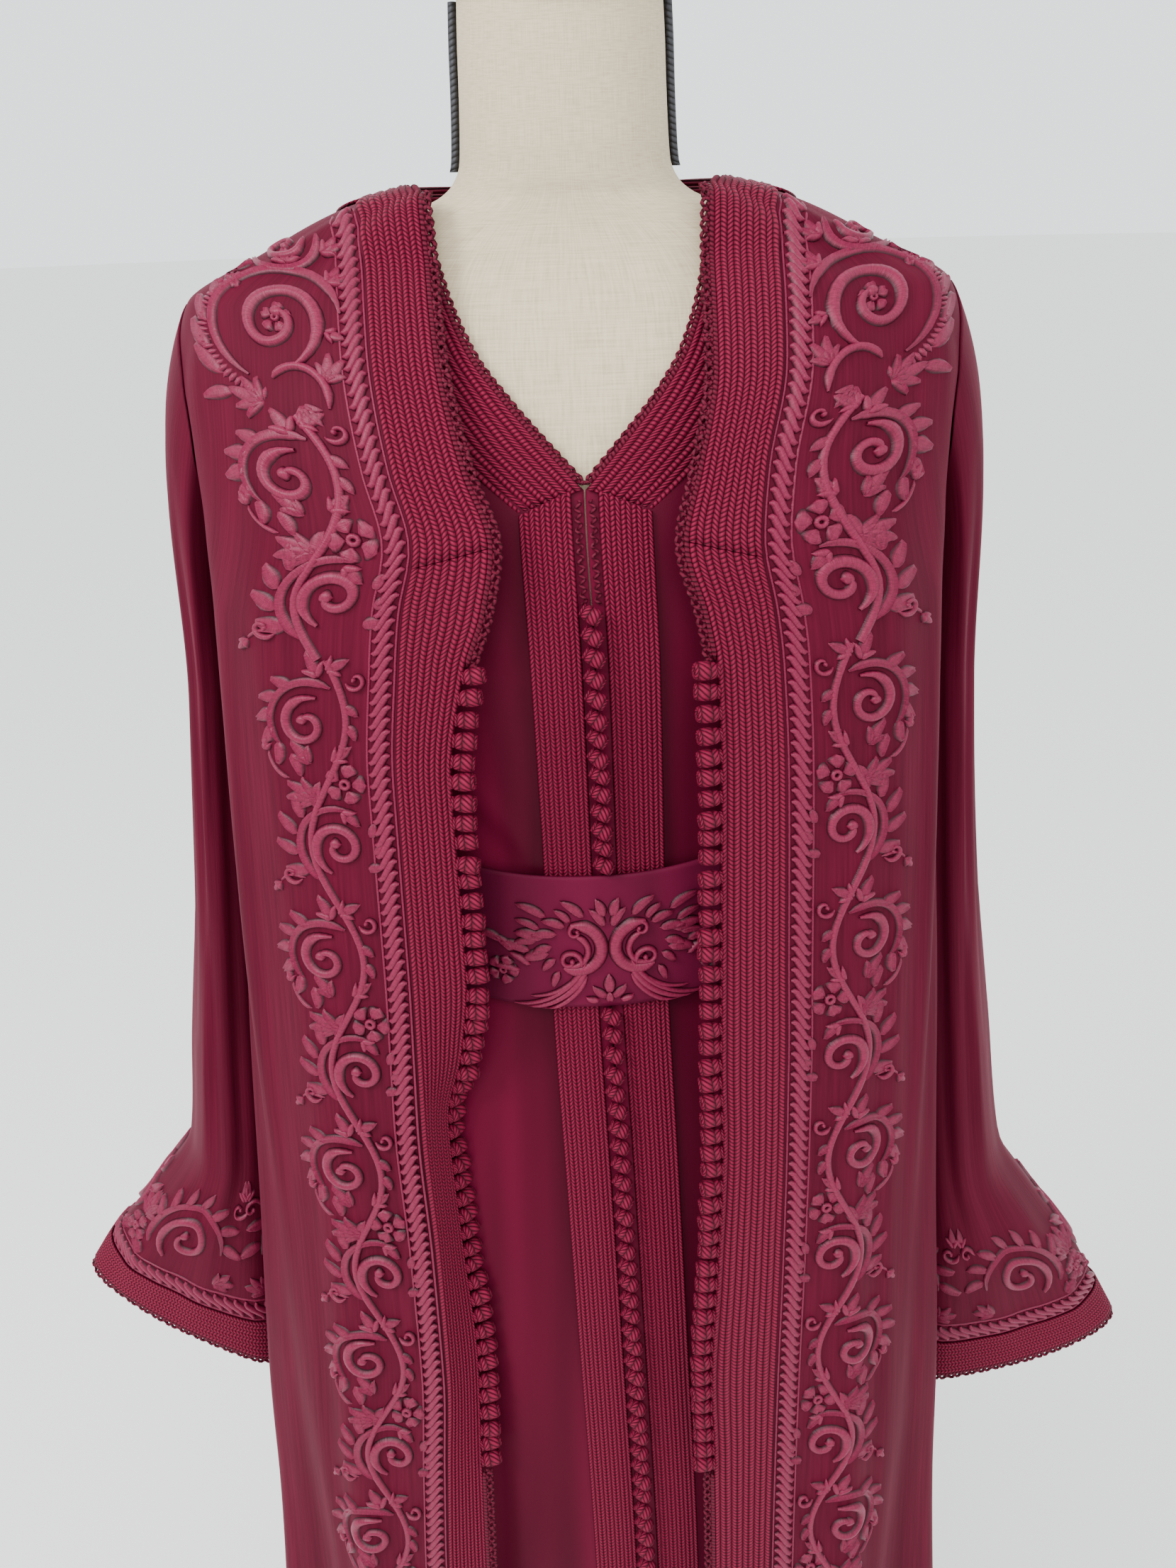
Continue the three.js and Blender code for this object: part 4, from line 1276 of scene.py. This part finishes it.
def frontLattice(name):
    def sample(a, s):
        z = between(*columnRun(name, a), s)
        angle = angleAt(caftanSections, sides[name] * (caftanEdges[name]["braid"](z) + a), z)
        return caftanPoint(angle, z), normalOf(caftanPoint, angle, z)

    return makeLattice(sample, (0, 120, 5), (-1224, 211, 5))


def cuffLattice(name):
    # distances round the cuff are measured part way up its embroidery
    turns = [2 * i for i in range(181)]
    points = [sleevePoint(name, turn % 360, sleeveHem[name] + cuff["measured"]) for turn in turns]
    lengths = [0]
    for before, after in zip(points, points[1:]):
        lengths.append(lengths[-1] + (after - before).length)
    around = lengths[-1]

    def sample(a, s):
        angle, z = between(lengths, turns, a % around) % 360, sleeveHem[name] + s
        return sleevePoint(name, angle, z), sleeveNormal(name, angle, z)

    return makeLattice(sample, (-90, around + 90, 4), (25, 150, 5)), around


def beltLattice():
    def sample(a, z):
        angle = angleAt({"halfWidth": lambda z: 146}, a, z)
        return beltPoint(angle, z, belt["wall"]), normalOf(beltSurface, angle, z)

    return makeLattice(sample, (-110, 110, 5), (belt["bottom"], belt["top"], 5))


# Embroidery: domed strokes of satin stitch along lines on the laid-out cloth
embroidery = {"broad": 1.24, "high": 1.75, "sink": 0.3}


def addStroke(work, lattice, line, width, height, flip, veined=False):
    last = len(line) - 1
    run = sum(math.dist(a, b) for a, b in zip(line, line[1:]))

    def place(u, v):
        i = round(v * last)
        before, after = line[max(i - 1, 0)], line[min(i + 1, last)]
        aheadA, aheadS = after[0] - before[0], after[1] - before[1]
        size = math.hypot(aheadA, aheadS) or 1
        breadth = max(embroidery["broad"] * width(v), 0.05)
        offset = (u - 0.5) * breadth
        point, normal = lattice(line[i][0] + offset * aheadS / size, line[i][1] - offset * aheadA / size)
        dome = math.sqrt(max(0, 1 - (2 * u - 1) ** 2))
        if veined and abs(u - 0.5) < 0.1:
            dome *= 0.45
        return point + normal * (
            embroidery["high"] * height * dome * min(1, breadth / 3) - embroidery["sink"]
        )

    addGrid(work, 4, last, place, lambda u, v: (u, v * run * mm), flip=flip)


def spiralLine(a, s, outer, inner, start, turn, steps=20):
    line = []
    for i in range(steps + 1):
        t = i / steps
        radius = outer + (inner - outer) * t**0.8
        angle = math.radians(start + turn * t)
        line.append((a + radius * math.cos(angle), s + radius * math.sin(angle)))
    return line


def leafLine(a, s, heading, length, bend, steps=7):
    line = [(a, s)]
    for i in range(steps):
        angle = math.radians(heading + bend * (i / (steps - 1) - 0.5))
        last = line[-1]
        line.append(
            (last[0] + length / steps * math.cos(angle), last[1] + length / steps * math.sin(angle))
        )
    return line


def taper(first, last):
    return lambda v: (first + (last - first) * v) * min(1, 6 * v + 0.25, 6 * (1 - v) + 0.35)


def lens(width, middle=0.45):
    return lambda v: width * math.sin(math.pi * v ** (math.log(0.5) / math.log(middle))) ** 0.75


def scroll(a, s, radius, start, turn, width=5.0):
    # a spiral with a round end
    inner = 0.2 * radius
    end = math.radians(start + turn)
    tipA, tipS = a + inner * math.cos(end), s + inner * math.sin(end)
    return [
        (
            spiralLine(a, s, radius, inner, start, turn, round(abs(turn) / 13)), taper(width, 0.55 * width),
            1.9, False,
        ),
        (leafLine(tipA - 0.5 * width, tipS, 0, width, 0, 6), lens(0.95 * width, 0.5), 2.0, False),
    ]


def leaf(a, s, heading, length, width, bend=30):
    return [(leafLine(a, s, heading, length, bend), lens(width, 0.42), 1.7, width > 4.5)]


def fan(a, s, radius, angles, length, width, lean=55):
    # leaves round the outside of a scroll
    strokes = []
    for angle in angles:
        turn = math.radians(angle)
        strokes += leaf(
            a + radius * math.cos(turn), s + radius * math.sin(turn), angle + lean, length, width
        )
    return strokes


def plume(a, s, heading, count, length, width, spread):
    # leaves from one point, the middle ones longest
    strokes = []
    for i in range(count):
        share = i / (count - 1) - 0.5
        size = 1 - 0.35 * abs(2 * share)
        strokes += leaf(a, s, heading + spread * share, length * size, width * size, 70 * share)
    return strokes


def tendril(a, s, heading, length, bend):
    line = leafLine(a, s, heading, length, bend, 9)
    return [(line, taper(2.6, 1.3), 1.3, False)] + plume(
        *line[-1], heading + 0.5 * bend, 3, 0.45 * length, 4, 80
    )


def flower(a, s, radius, turn=0):
    strokes = [
        (spiralLine(a, s, 0.2 * radius, 0.2 * radius, 0, 360, 10), lambda v: 0.22 * radius, 1.7, False)
    ]
    for i in range(5):
        heading = turn + 72 * i
        angle = math.radians(heading)
        petal = leafLine(
            a + 0.3 * radius * math.cos(angle), s + 0.3 * radius * math.sin(angle), heading, 0.75 * radius,
            10,
        )
        strokes.append((petal, lens(0.82 * radius, 0.62), 1.7, True))
    return strokes


def stitchedEdge(a, s, radius, first, last, count, length):
    # short bars side by side round the outside of a scroll
    strokes = []
    for i in range(count):
        angle = first + (last - first) * i / (count - 1)
        turn = math.radians(angle)
        bar = leafLine(a + radius * math.cos(turn), s + radius * math.sin(turn), angle, length, 0, 3)
        strokes.append((bar, lens(abs(last - first) / count * radius * 0.019, 0.5), 1.1, False))
    return strokes


vine = {"bottom": -1216, "top": -62, "units": 8, "middle": 40, "sway": 12}


def vineUnit(length, random):
    # one length of the vine: a swaying stem, a scroll in each bend, leaves and a flower
    wander = lambda size: random.uniform(-size, size)
    stem = [
        (vine["middle"] + vine["sway"] * math.sin(2 * math.pi * i / 24), length * i / 24)
        for i in range(25)
    ]
    low, high, bloom = 0.25 * length, 0.75 * length, 0.5 * length
    strokes = [(stem, lambda v: 4.2, 1.6, False)]
    strokes += scroll(35 + wander(1), low + wander(2), 17, -70, 450 + wander(25), 6.6)
    strokes += [(spiralLine(35, low, 25, 22.5, -62, 170, 16), taper(5.6, 3.2), 1.8, True)]
    strokes += fan(36, low, 24, (-40, -14, 12, 38, 64), 17, 7.4, 42 + wander(8))
    strokes += fan(34, low, 19, (160, 192, 224), 10, 5.6, -58)
    strokes += scroll(50 + wander(1), high + wander(2), 16.5, 110, -440 + wander(25), 6.4)
    strokes += [(spiralLine(50, high, 24, 21.5, 122, -165, 16), taper(5.4, 3), 1.8, True)]
    strokes += fan(50, high, 22, (-62, -36, -10, 16, 42, 68), 15, 7, -46 + wander(8))
    strokes += fan(48, high, 20, (150, 180, 210), 11, 5.4, 58)
    strokes += flower(28 + wander(1.5), bloom + wander(3), 11.5, wander(36))
    strokes += plume(45, bloom - 8, 8 + wander(8), 4, 24, 8, 85)
    strokes += plume(48, bloom + 12, 52 + wander(8), 3, 18, 7, 70)
    strokes += plume(33, bloom - 14, 222, 3, 14, 6, 75)
    strokes += plume(36, bloom + 14, 138, 3, 15, 6, 75)
    strokes += tendril(62, bloom + 2, 48, 20, 60)
    strokes += tendril(58, 0.1 * length, -20, 20, -70)
    strokes += scroll(66, 0.04 * length + 10, 6.5, 200, 330, 3)
    strokes += scroll(23, 0.93 * length, 6.5, -20, -330, 3)
    strokes += plume(44, length - 10, 62, 3, 17, 6.8, 90)
    strokes += plume(40, length - 6, 150, 3, 15, 6, 90)
    return strokes


def widened(strokes, share):
    return [
        (
            [(17 + (a - 17) * share, s) for a, s in line], lambda v, width=width: share * width(v), height,
            veined,
        )
        for line, width, height, veined in strokes
    ]


def shoulderSpray(random):
    # the widest part, from the mitre up over the shoulder
    unit = widened(vineUnit(132, random), 1.22)
    strokes = [([(a, s + vine["top"]) for a, s in line], *rest) for line, *rest in unit]
    strokes += scroll(52, 124, 29, 250, -500, 8.2)
    strokes += [(spiralLine(52, 124, 37, 35, 175, -235, 24), taper(6.4, 4), 1.8, True)]
    strokes += stitchedEdge(52, 124, 38, 60, -78, 30, 8.5)
    strokes += flower(51, 126, 9, 30)
    strokes += [(spiralLine(44, 82, 20, 14, 205, -165, 14), taper(5.5, 4), 1.8, False)]
    strokes += plume(62, 78, 20, 5, 24, 8.4, 120)
    strokes += plume(26, 88, 118, 4, 20, 7.6, 100)
    strokes += plume(40, 76, 250, 4, 17, 7, 110)
    # leaves along the armhole
    strokes += leaf(84, 94, 52, 24, 8.5, 30)
    strokes += leaf(89, 108, 62, 25, 8.5, 40)
    strokes += leaf(90, 124, 74, 24, 8, 45)
    strokes += leaf(86, 140, 96, 22, 7.6, 45) + leaf(80, 84, -15, 20, 7.6, -30)
    strokes += flower(78, 154, 9, 10)
    strokes += plume(22, 146, 140, 4, 16, 6.6, 100)
    strokes += plume(24, 116, 200, 3, 12, 5.6, 80)
    # the spray at the top
    strokes += scroll(46, 180, 14, 175, 420, 5.6)
    strokes += [(spiralLine(46, 180, 21, 19, 175, 190, 14), taper(5.4, 3.6), 1.8, True)]
    strokes += plume(44, 163, 88, 5, 15, 6.4, 130)
    strokes += plume(66, 172, 28, 4, 20, 7.4, 90)
    strokes += plume(25, 168, 150, 4, 16, 6.6, 90)
    return strokes


def ropeBorder(first, last, inner, outer, upward=True):
    # slanting S-shaped stitches, each ending beside the next, between two fine lines
    turned = (lambda across, level: (across, level)) if upward else (lambda across, level: (level, across))
    pitch, rise = 6.9, 11.5
    strokes = []
    for i in range(int((last - first) / pitch)):
        level = first + i * pitch
        line = []
        for j in range(8):
            t = j / 7
            lift = rise * (1 - t) + 2.4 * math.sin(2 * math.pi * t)
            line.append(turned(inner + (outer - inner) * t, level + lift))
        strokes.append((line, lambda v: 4.6 * math.sin(math.pi * clamp(v, 0.02, 0.98)) ** 0.45, 1.7, False))
    for across in (inner - 1, outer + 1):
        steps = int((last - first) / 8)
        line = [turned(across, first + (last - first) * i / steps) for i in range(steps + 1)]
        strokes.append((line, lambda v: 1.5, 1.0, False))
    return strokes


def cuffSpray(random, around, shift):
    strokes = ropeBorder(0, around - 4, 32, 46, upward=False)
    for i in range(cuff["sprays"]):
        a = around * (i + 0.5) / cuff["sprays"] + shift
        tilt = random.uniform(-8, 8)
        turn = 1 if i % 2 else -1
        strokes += scroll(a, 84, 25, 90 - turn * 150, turn * 470 + tilt, 8)
        strokes += [(spiralLine(a, 84, 33, 31, 90 - turn * 120, turn * 215, 18), taper(6.4, 4), 1.8, True)]
        strokes += fan(
            a, 84, 32, [90 - turn * x for x in (-80, -54, -28, -2, 24, 50, 76)], 20, 8.4, turn * 38
        )
        strokes += plume(a + turn * 46, 78, 90, 5, 27, 9, 120)
        strokes += flower(a + turn * 48, 64, 12, tilt)
        strokes += plume(a - turn * 28, 54, 90 + turn * 62, 4, 19, 7.6, 90)
        strokes += plume(a + turn * 28, 52, 90 - turn * 70, 4, 17, 7, 80)
        strokes += scroll(a - turn * 42, 118, 8, 0, turn * 330, 3.6)
        strokes += plume(a - turn * 46, 124, 90, 3, 16, 6.4, 80)
    return strokes


# leaves of the belt's spray: place across and height, heading, length and width
beltLeaves = [
    (-25, 1030, 165, 15, 5.4), (-30, 1025, 185, 17, 5.6), (-33, 1017, 205, 14, 5.2),
    (-31, 1009, 225, 12, 4.8), (-22, 1033, 140, 13, 4.6), (-2, 1030, 128, 15, 5.4),
    (-40, 1028, 160, 16, 4.6), (-42, 1020, 190, 15, 4.6), (-29, 1001, 250, 12, 4.6),
    (-46, 1004, 150, 15, 4.4), (-52, 1000, 178, 17, 4.2), (-3, 1036, 108, 13, 6),
    (-14, 1036, 142, 18, 5.6), (-36, 1036, 158, 20, 5.4), (-46, 1013, 168, 20, 6),
    (-35, 1012, 196, 17, 7), (-38, 1022, 172, 18, 7), (-56, 1012, 140, 15, 5),
    (-62, 1018, 165, 16, 5),
]


def beltSpray():
    # a mirrored pair of scrolls with a bud between them, and a flower near the edge
    middle = 11
    strokes = []
    for turn in (1, -1):
        face = lambda angle: angle if turn > 0 else 180 - angle
        bigger = [(middle + turn * x, z) for x, z in spiralLine(-19, 1015, 17, 13, 100, -225, 24)]
        inside = [(middle + turn * x, z) for x, z in spiralLine(-22, 1014, 11, 9, 80, -190, 18)]
        strokes += [(bigger, taper(7.5, 6.5), 1.8, False), (inside, taper(4, 3), 1.6, False)]
        for start, reach, width in ((1003, 50, 5.6), (1008, 56, 4), (998, 46, 4)):
            sweep = [(middle + turn * x, z) for x, z in leafLine(-13, start, 215, reach, -62, 14)]
            strokes.append((sweep, taper(width, 1.8), 1.6, False))
        strokes += scroll(middle - turn * 19, 1027, 5.5, face(60), turn * 330, 3)
        strokes += scroll(middle - turn * 23, 1008, 8, face(-40), turn * 400, 3.6)
        stalk = [(middle + turn * x, z) for x, z in leafLine(-20, 996, 205, 30, -40, 9)]
        strokes.append((stalk, taper(3.4, 1.4), 1.4, False))
        for x, z, heading, length, width in beltLeaves:
            strokes += leaf(middle + turn * x, z, face(heading), length, width, turn * 25)
        strokes += leaf(middle - turn * 1, 984, face(140), 12, 4.8, -turn * 40)
        strokes += leaf(middle - turn * 6, 982, face(165), 9, 4.2, -turn * 50)
    strokes += leaf(middle, 986, 90, 13, 6.4, 0) + leaf(middle, 980, 90, 7, 4.8, 0)
    strokes += flower(middle - 62, 999, 9) + flower(middle + 62, 999, 9)
    return strokes


def makeEmbroidery(name, lattice, strokes, flip, on, slotName):
    work = startWork()
    for line, width, height, veined in strokes:
        addStroke(work, lattice, line, width, height, flip, veined)
    finishPiece(name, work, "thread", slotName, on=on)


def makeFrontEmbroidery():
    for name, side in sides.items():
        random = Random(5 if side > 0 else 8)
        lattice = frontLattice(name)
        flip = side > 0
        strokes = shoulderSpray(random)
        unit = (vine["top"] - vine["bottom"]) / vine["units"]
        for i in range(vine["units"]):
            base = vine["bottom"] + unit * i
            strokes += [([(a, s + base) for a, s in line], *rest) for line, *rest in vineUnit(unit, random)]
        makeEmbroidery(
            "caftanEmbroidery" + name.title(), lattice, strokes, flip, "caftanFront" + name.title(), "braid"
        )
        rope = ropeBorder(vine["bottom"], 197, 3.2, 15.2)
        makeEmbroidery(
            "caftanRope" + name.title(), lattice, rope, flip, "caftanFront" + name.title(), "braid"
        )


def makeCuffEmbroidery():
    for name, side in sides.items():
        lattice, around = cuffLattice(name)
        strokes = cuffSpray(Random(3 if side > 0 else 4), around, cuff["shift"][name])
        makeEmbroidery(
            "cuffEmbroidery" + name.title(), lattice, strokes, True, "caftanSleeve" + name.title(), "braid"
        )


makeFrontEmbroidery()
makeCuffEmbroidery()
makeEmbroidery("beltEmbroidery", beltLattice(), beltSpray(), True, "beltBand", "satin")
print("embroidery made")


# Cords and picots along an edge
def makePath(sample, count):
    # sample(t), t from 0 to 1, returns a point, the cloth's normal and the way out past the edge
    frames = [sample(i / count) for i in range(count + 1)]
    lengths = [0]
    for (before, _, _), (after, _, _) in zip(frames, frames[1:]):
        lengths.append(lengths[-1] + (after - before).length)

    def at(length):
        i = clamp(bisect(lengths, length) - 1, 0, count - 1)
        share = clamp((length - lengths[i]) / (lengths[i + 1] - lengths[i]), 0, 1)
        return tuple(a * (1 - share) + b * share for a, b in zip(frames[i], frames[i + 1]))

    return at, lengths[-1]


def addTube(work, centre, run, radius, steps, around=5, looped=False):
    # centre(length) returns a point and the cloth's normal there
    @lru_cache(maxsize=None)
    def frameAt(v):
        length = v * run
        point, up = centre(length)
        ahead = (centre(length + 0.3)[0] - centre(length - 0.3)[0]).normalized()
        beside = ahead.cross(up).normalized()
        return point, beside, beside.cross(ahead)

    def place(u, v):
        v = round(v, 6)
        point, beside, above = frameAt(v)
        size = radius if looped or 0 < v < 1 else 0
        turn = 2 * math.pi * u
        return point + beside * (size * math.cos(turn)) + above * (size * math.sin(turn))

    addGrid(work, around, steps, place, lambda u, v: (u, v * run * mm), closed=True)


picot = {
    "pitch": 5.6, "samples": 8, "radius": 1.1, "cord": 1.7, "middle": 4.5, "swing": 2.1, "lift": 0.9,
    "slit": {"radius": 0.8, "middle": 3.4, "swing": 1.6, "lift": 1.2},
}


def addPicots(work, path, run, looped=False, reach=1.0):
    # two crossing cords that leave small holes, beside one plain cord
    periods = round(run / picot["pitch"])
    pitch = run / periods
    for phase in (0, math.pi):
        def centre(length, phase=phase):
            length = length % run if looped else clamp(length, 0, run)
            point, normal, outward = path(length)
            swing = picot["middle"] * reach + picot["swing"] * math.cos(
                2 * math.pi * length / pitch * 0.5 + phase
            )
            weave = 0.5 * math.sin(2 * math.pi * length / pitch + phase)
            return point + outward * swing + normal * (picot["lift"] + weave), normal

        addTube(work, centre, run, picot["radius"], periods * picot["samples"] // 2, 5, looped)

    def plain(length):
        point, normal, outward = path(length % run if looped else clamp(length, 0, run))
        return point + outward * 1.0 + normal * picot["lift"], normal

    addTube(work, plain, run, picot["cord"], round(run / 5), 6, looped)


def frontEdgePath(name, low, high):
    def sample(t):
        z = low + (high - low) * t
        point = caftanFront(name, 0, z)
        outward = (point - caftanFront(name, 0.06, z)).normalized()
        return point, caftanFrontNormal(name, 0.04, z), outward

    return makePath(sample, round((high - low) / 4))


def dressEdgePath(name, low, high):
    def sample(t):
        z = low + (high - low) * t
        point = dressFrontPoint(name, 0, z)
        outward = (point - dressFrontPoint(name, 0.06, z)).normalized()
        return point, dressFrontNormal(name, 0.05, z), outward

    return makePath(sample, round((high - low) / 3))


def cuffPath(name):
    hem = sleeveHem[name]

    def sample(t):
        angle = (360 * t) % 360
        point = sleevePoint(name, angle, hem)
        outward = (point - sleevePoint(name, angle, hem + 3)).normalized()
        return point, sleeveNormal(name, angle, hem + 1), outward

    return makePath(sample, 120)


def makePicots():
    slit = picot["slit"]
    for name in sides:
        title = name.title()
        for label, low, high, node in (
            ("caftanNeckPicots", 1197, 1430, "caftan_neckpicot_"),
            ("caftanFrontPicots", 31, 650, "caftan_frontpicot_"),
        ):
            work = startWork()
            path, run = frontEdgePath(name, low, high)
            addPicots(work, path, run)
            finishPiece(label + title, work, "cord", "braid", [node + name], on="caftanFront" + title)
        work = startWork()
        path, run = dressEdgePath(name, 1287, 1427)
        addPicots(work, path, run, reach=0.6)
        finishPiece("dressNeckPicots" + title, work, "cord", "braid", on="dressFront" + title)
        work = startWork()
        path, run = cuffPath(name)
        addPicots(work, path, run, looped=True, reach=0.9)
        finishPiece(
            "caftanCuffPicots" + title, work, "cord", "braid", ["caftan_cuffpicot_" + name],
            on="caftanSleeve" + title,
        )
        work = startWork()
        path, run = dressEdgePath(name, 1226, 1280)

        def slitWave(length):
            point, normal, outward = path(clamp(length, 0, run))
            swing = slit["middle"] + slit["swing"] * math.cos(2 * math.pi * length / picot["pitch"])
            return point - outward * swing + normal * slit["lift"], normal

        addTube(work, slitWave, run, slit["radius"], round(run / picot["pitch"]) * 8, 5)
        finishPiece(
            "dressSlitPicots" + title, work, "cord", "braid", ["dress_slitpicot_" + name],
            on="dressFront" + title,
        )


# Knots: barrels of braided cord with a small hole in the free end
knot = {
    "pitch": 12, "around": 10, "bottom": 655, "top": 1195,
    "radius": [0, 1.2, 1.5, 3.8, 4.9, 5.2, 5.1, 4.4, 3.6, 3.9, 0],
    "along": [10.5, 10.7, 13.0, 13.4, 12.0, 9.0, 5.5, 2.8, 1.6, 0.2, 0],
    "dressAxis": (0.84, -0.12, -0.54), "dressOffset": (-5.6, -5.4, 3.4),
}


def addKnot(work, base, axis, up, size=1.0):
    axis = axis.normalized()
    beside = axis.cross(up).normalized()
    above = beside.cross(axis)

    def place(u, v):
        turn = -2 * math.pi * u
        radius = size * along(knot["radius"], 1 - v)
        spread = beside * (radius * math.cos(turn)) + above * (radius * math.sin(turn))
        return base + axis * (size * along(knot["along"], 1 - v)) + spread

    addGrid(work, knot["around"], len(knot["along"]) - 1, place, lambda u, v: (v, u * 0.03), closed=True)


def makeKnots():
    random = Random(21)
    wander = lambda size: Vector([random.uniform(-size, size) for _ in range(3)])
    for name in sides:
        work = startWork()
        count = round((knot["top"] - knot["bottom"]) / knot["pitch"]) + 1
        path, run = frontEdgePath(name, knot["bottom"], knot["top"])
        for i in range(count):
            point, normal, outward = path(run * (i + 0.2) / (count - 0.6))
            addKnot(
                work, point - outward * 0.6 + normal * 1.6, outward + wander(0.13), normal,
                random.uniform(0.95, 1.04),
            )
        finishPiece(
            "caftanKnots" + name.title(), work, "knot", "braid", ["caftan_knots_" + name],
            on="caftanFront" + name.title(),
        )
    for label, low, high, node in (
        ("dressKnotsUpper", 1069, 1222, "dress_knots_upper"),
        ("dressKnotsLower", 334, 970, "dress_knots_lower"),
    ):
        work = startWork()
        count = round((high - low) / knot["pitch"]) + 1
        for i in range(count):
            z = low + (high - low) * i / (count - 1)
            point = dressPoint(angleAt(dressSections, closureLine(z), z), z)
            axis = Vector(knot["dressAxis"]) + wander(0.1)
            addKnot(
                work, point + Vector(knot["dressOffset"]), axis, Vector((0, -1, 0)),
                random.uniform(0.86, 0.93),
            )
        finishPiece(label, work, "knot", "braid", [node], on="dressFrontLeft")


makePicots()
makeKnots()
print("picots and knots made")
# Surroundings and light
# radius in metres
studio = {"floorRadius": 40, "floor": (240, 239, 237), "sky": (222, 226, 228), "strength": 2.45}


def addFloor():
    work = startWork()
    bmesh.ops.create_circle(work, cap_ends=True, radius=studio["floorRadius"], segments=96)
    mesh = bpy.data.meshes.new("floor")
    work.to_mesh(mesh)
    work.free()
    material, nodes, links = newMaterial("paleFloor")
    shader = shaderOf(nodes)
    shader.inputs["Base Color"].default_value = (*linear(*studio["floor"]), 1)
    shader.inputs["Roughness"].default_value = 0.75
    mesh.materials.append(material)
    floor = bpy.data.objects.new("floor", mesh)
    bpy.context.collection.objects.link(floor)


def addLight(name, place, target, size, power):
    lamp = bpy.data.lights.new(name, "AREA")
    lamp.shape = "DISK"
    lamp.size = size
    lamp.energy = power
    light = bpy.data.objects.new(name, lamp)
    light.location = place
    light.rotation_euler = (Vector(target) - Vector(place)).to_track_quat("-Z", "Y").to_euler()
    bpy.context.collection.objects.link(light)


def addWorld():
    world = bpy.data.worlds.new("studio")
    world.use_nodes = True
    background = world.node_tree.nodes["Background"]
    background.inputs["Color"].default_value = (*linear(*studio["sky"]), 1)
    background.inputs["Strength"].default_value = studio["strength"]
    bpy.context.scene.world = world


addFloor()
# each light's place and aim in metres, its size and its power in watts
lights = {
    "keyLight": ((-1.8, -1.5, 2.9), (0, 0, 1.0), 1.1, 84),
    "fillLight": ((2.2, -1.6, 2.0), (0, 0, 1.0), 1.8, 10),
    "frontLight": ((0.0, -1.7, 2.5), (0, -0.1, 1.3), 1.2, 26),
}
for name, facts in lights.items():
    addLight(name, *facts)
addWorld()
print("light and floor made")
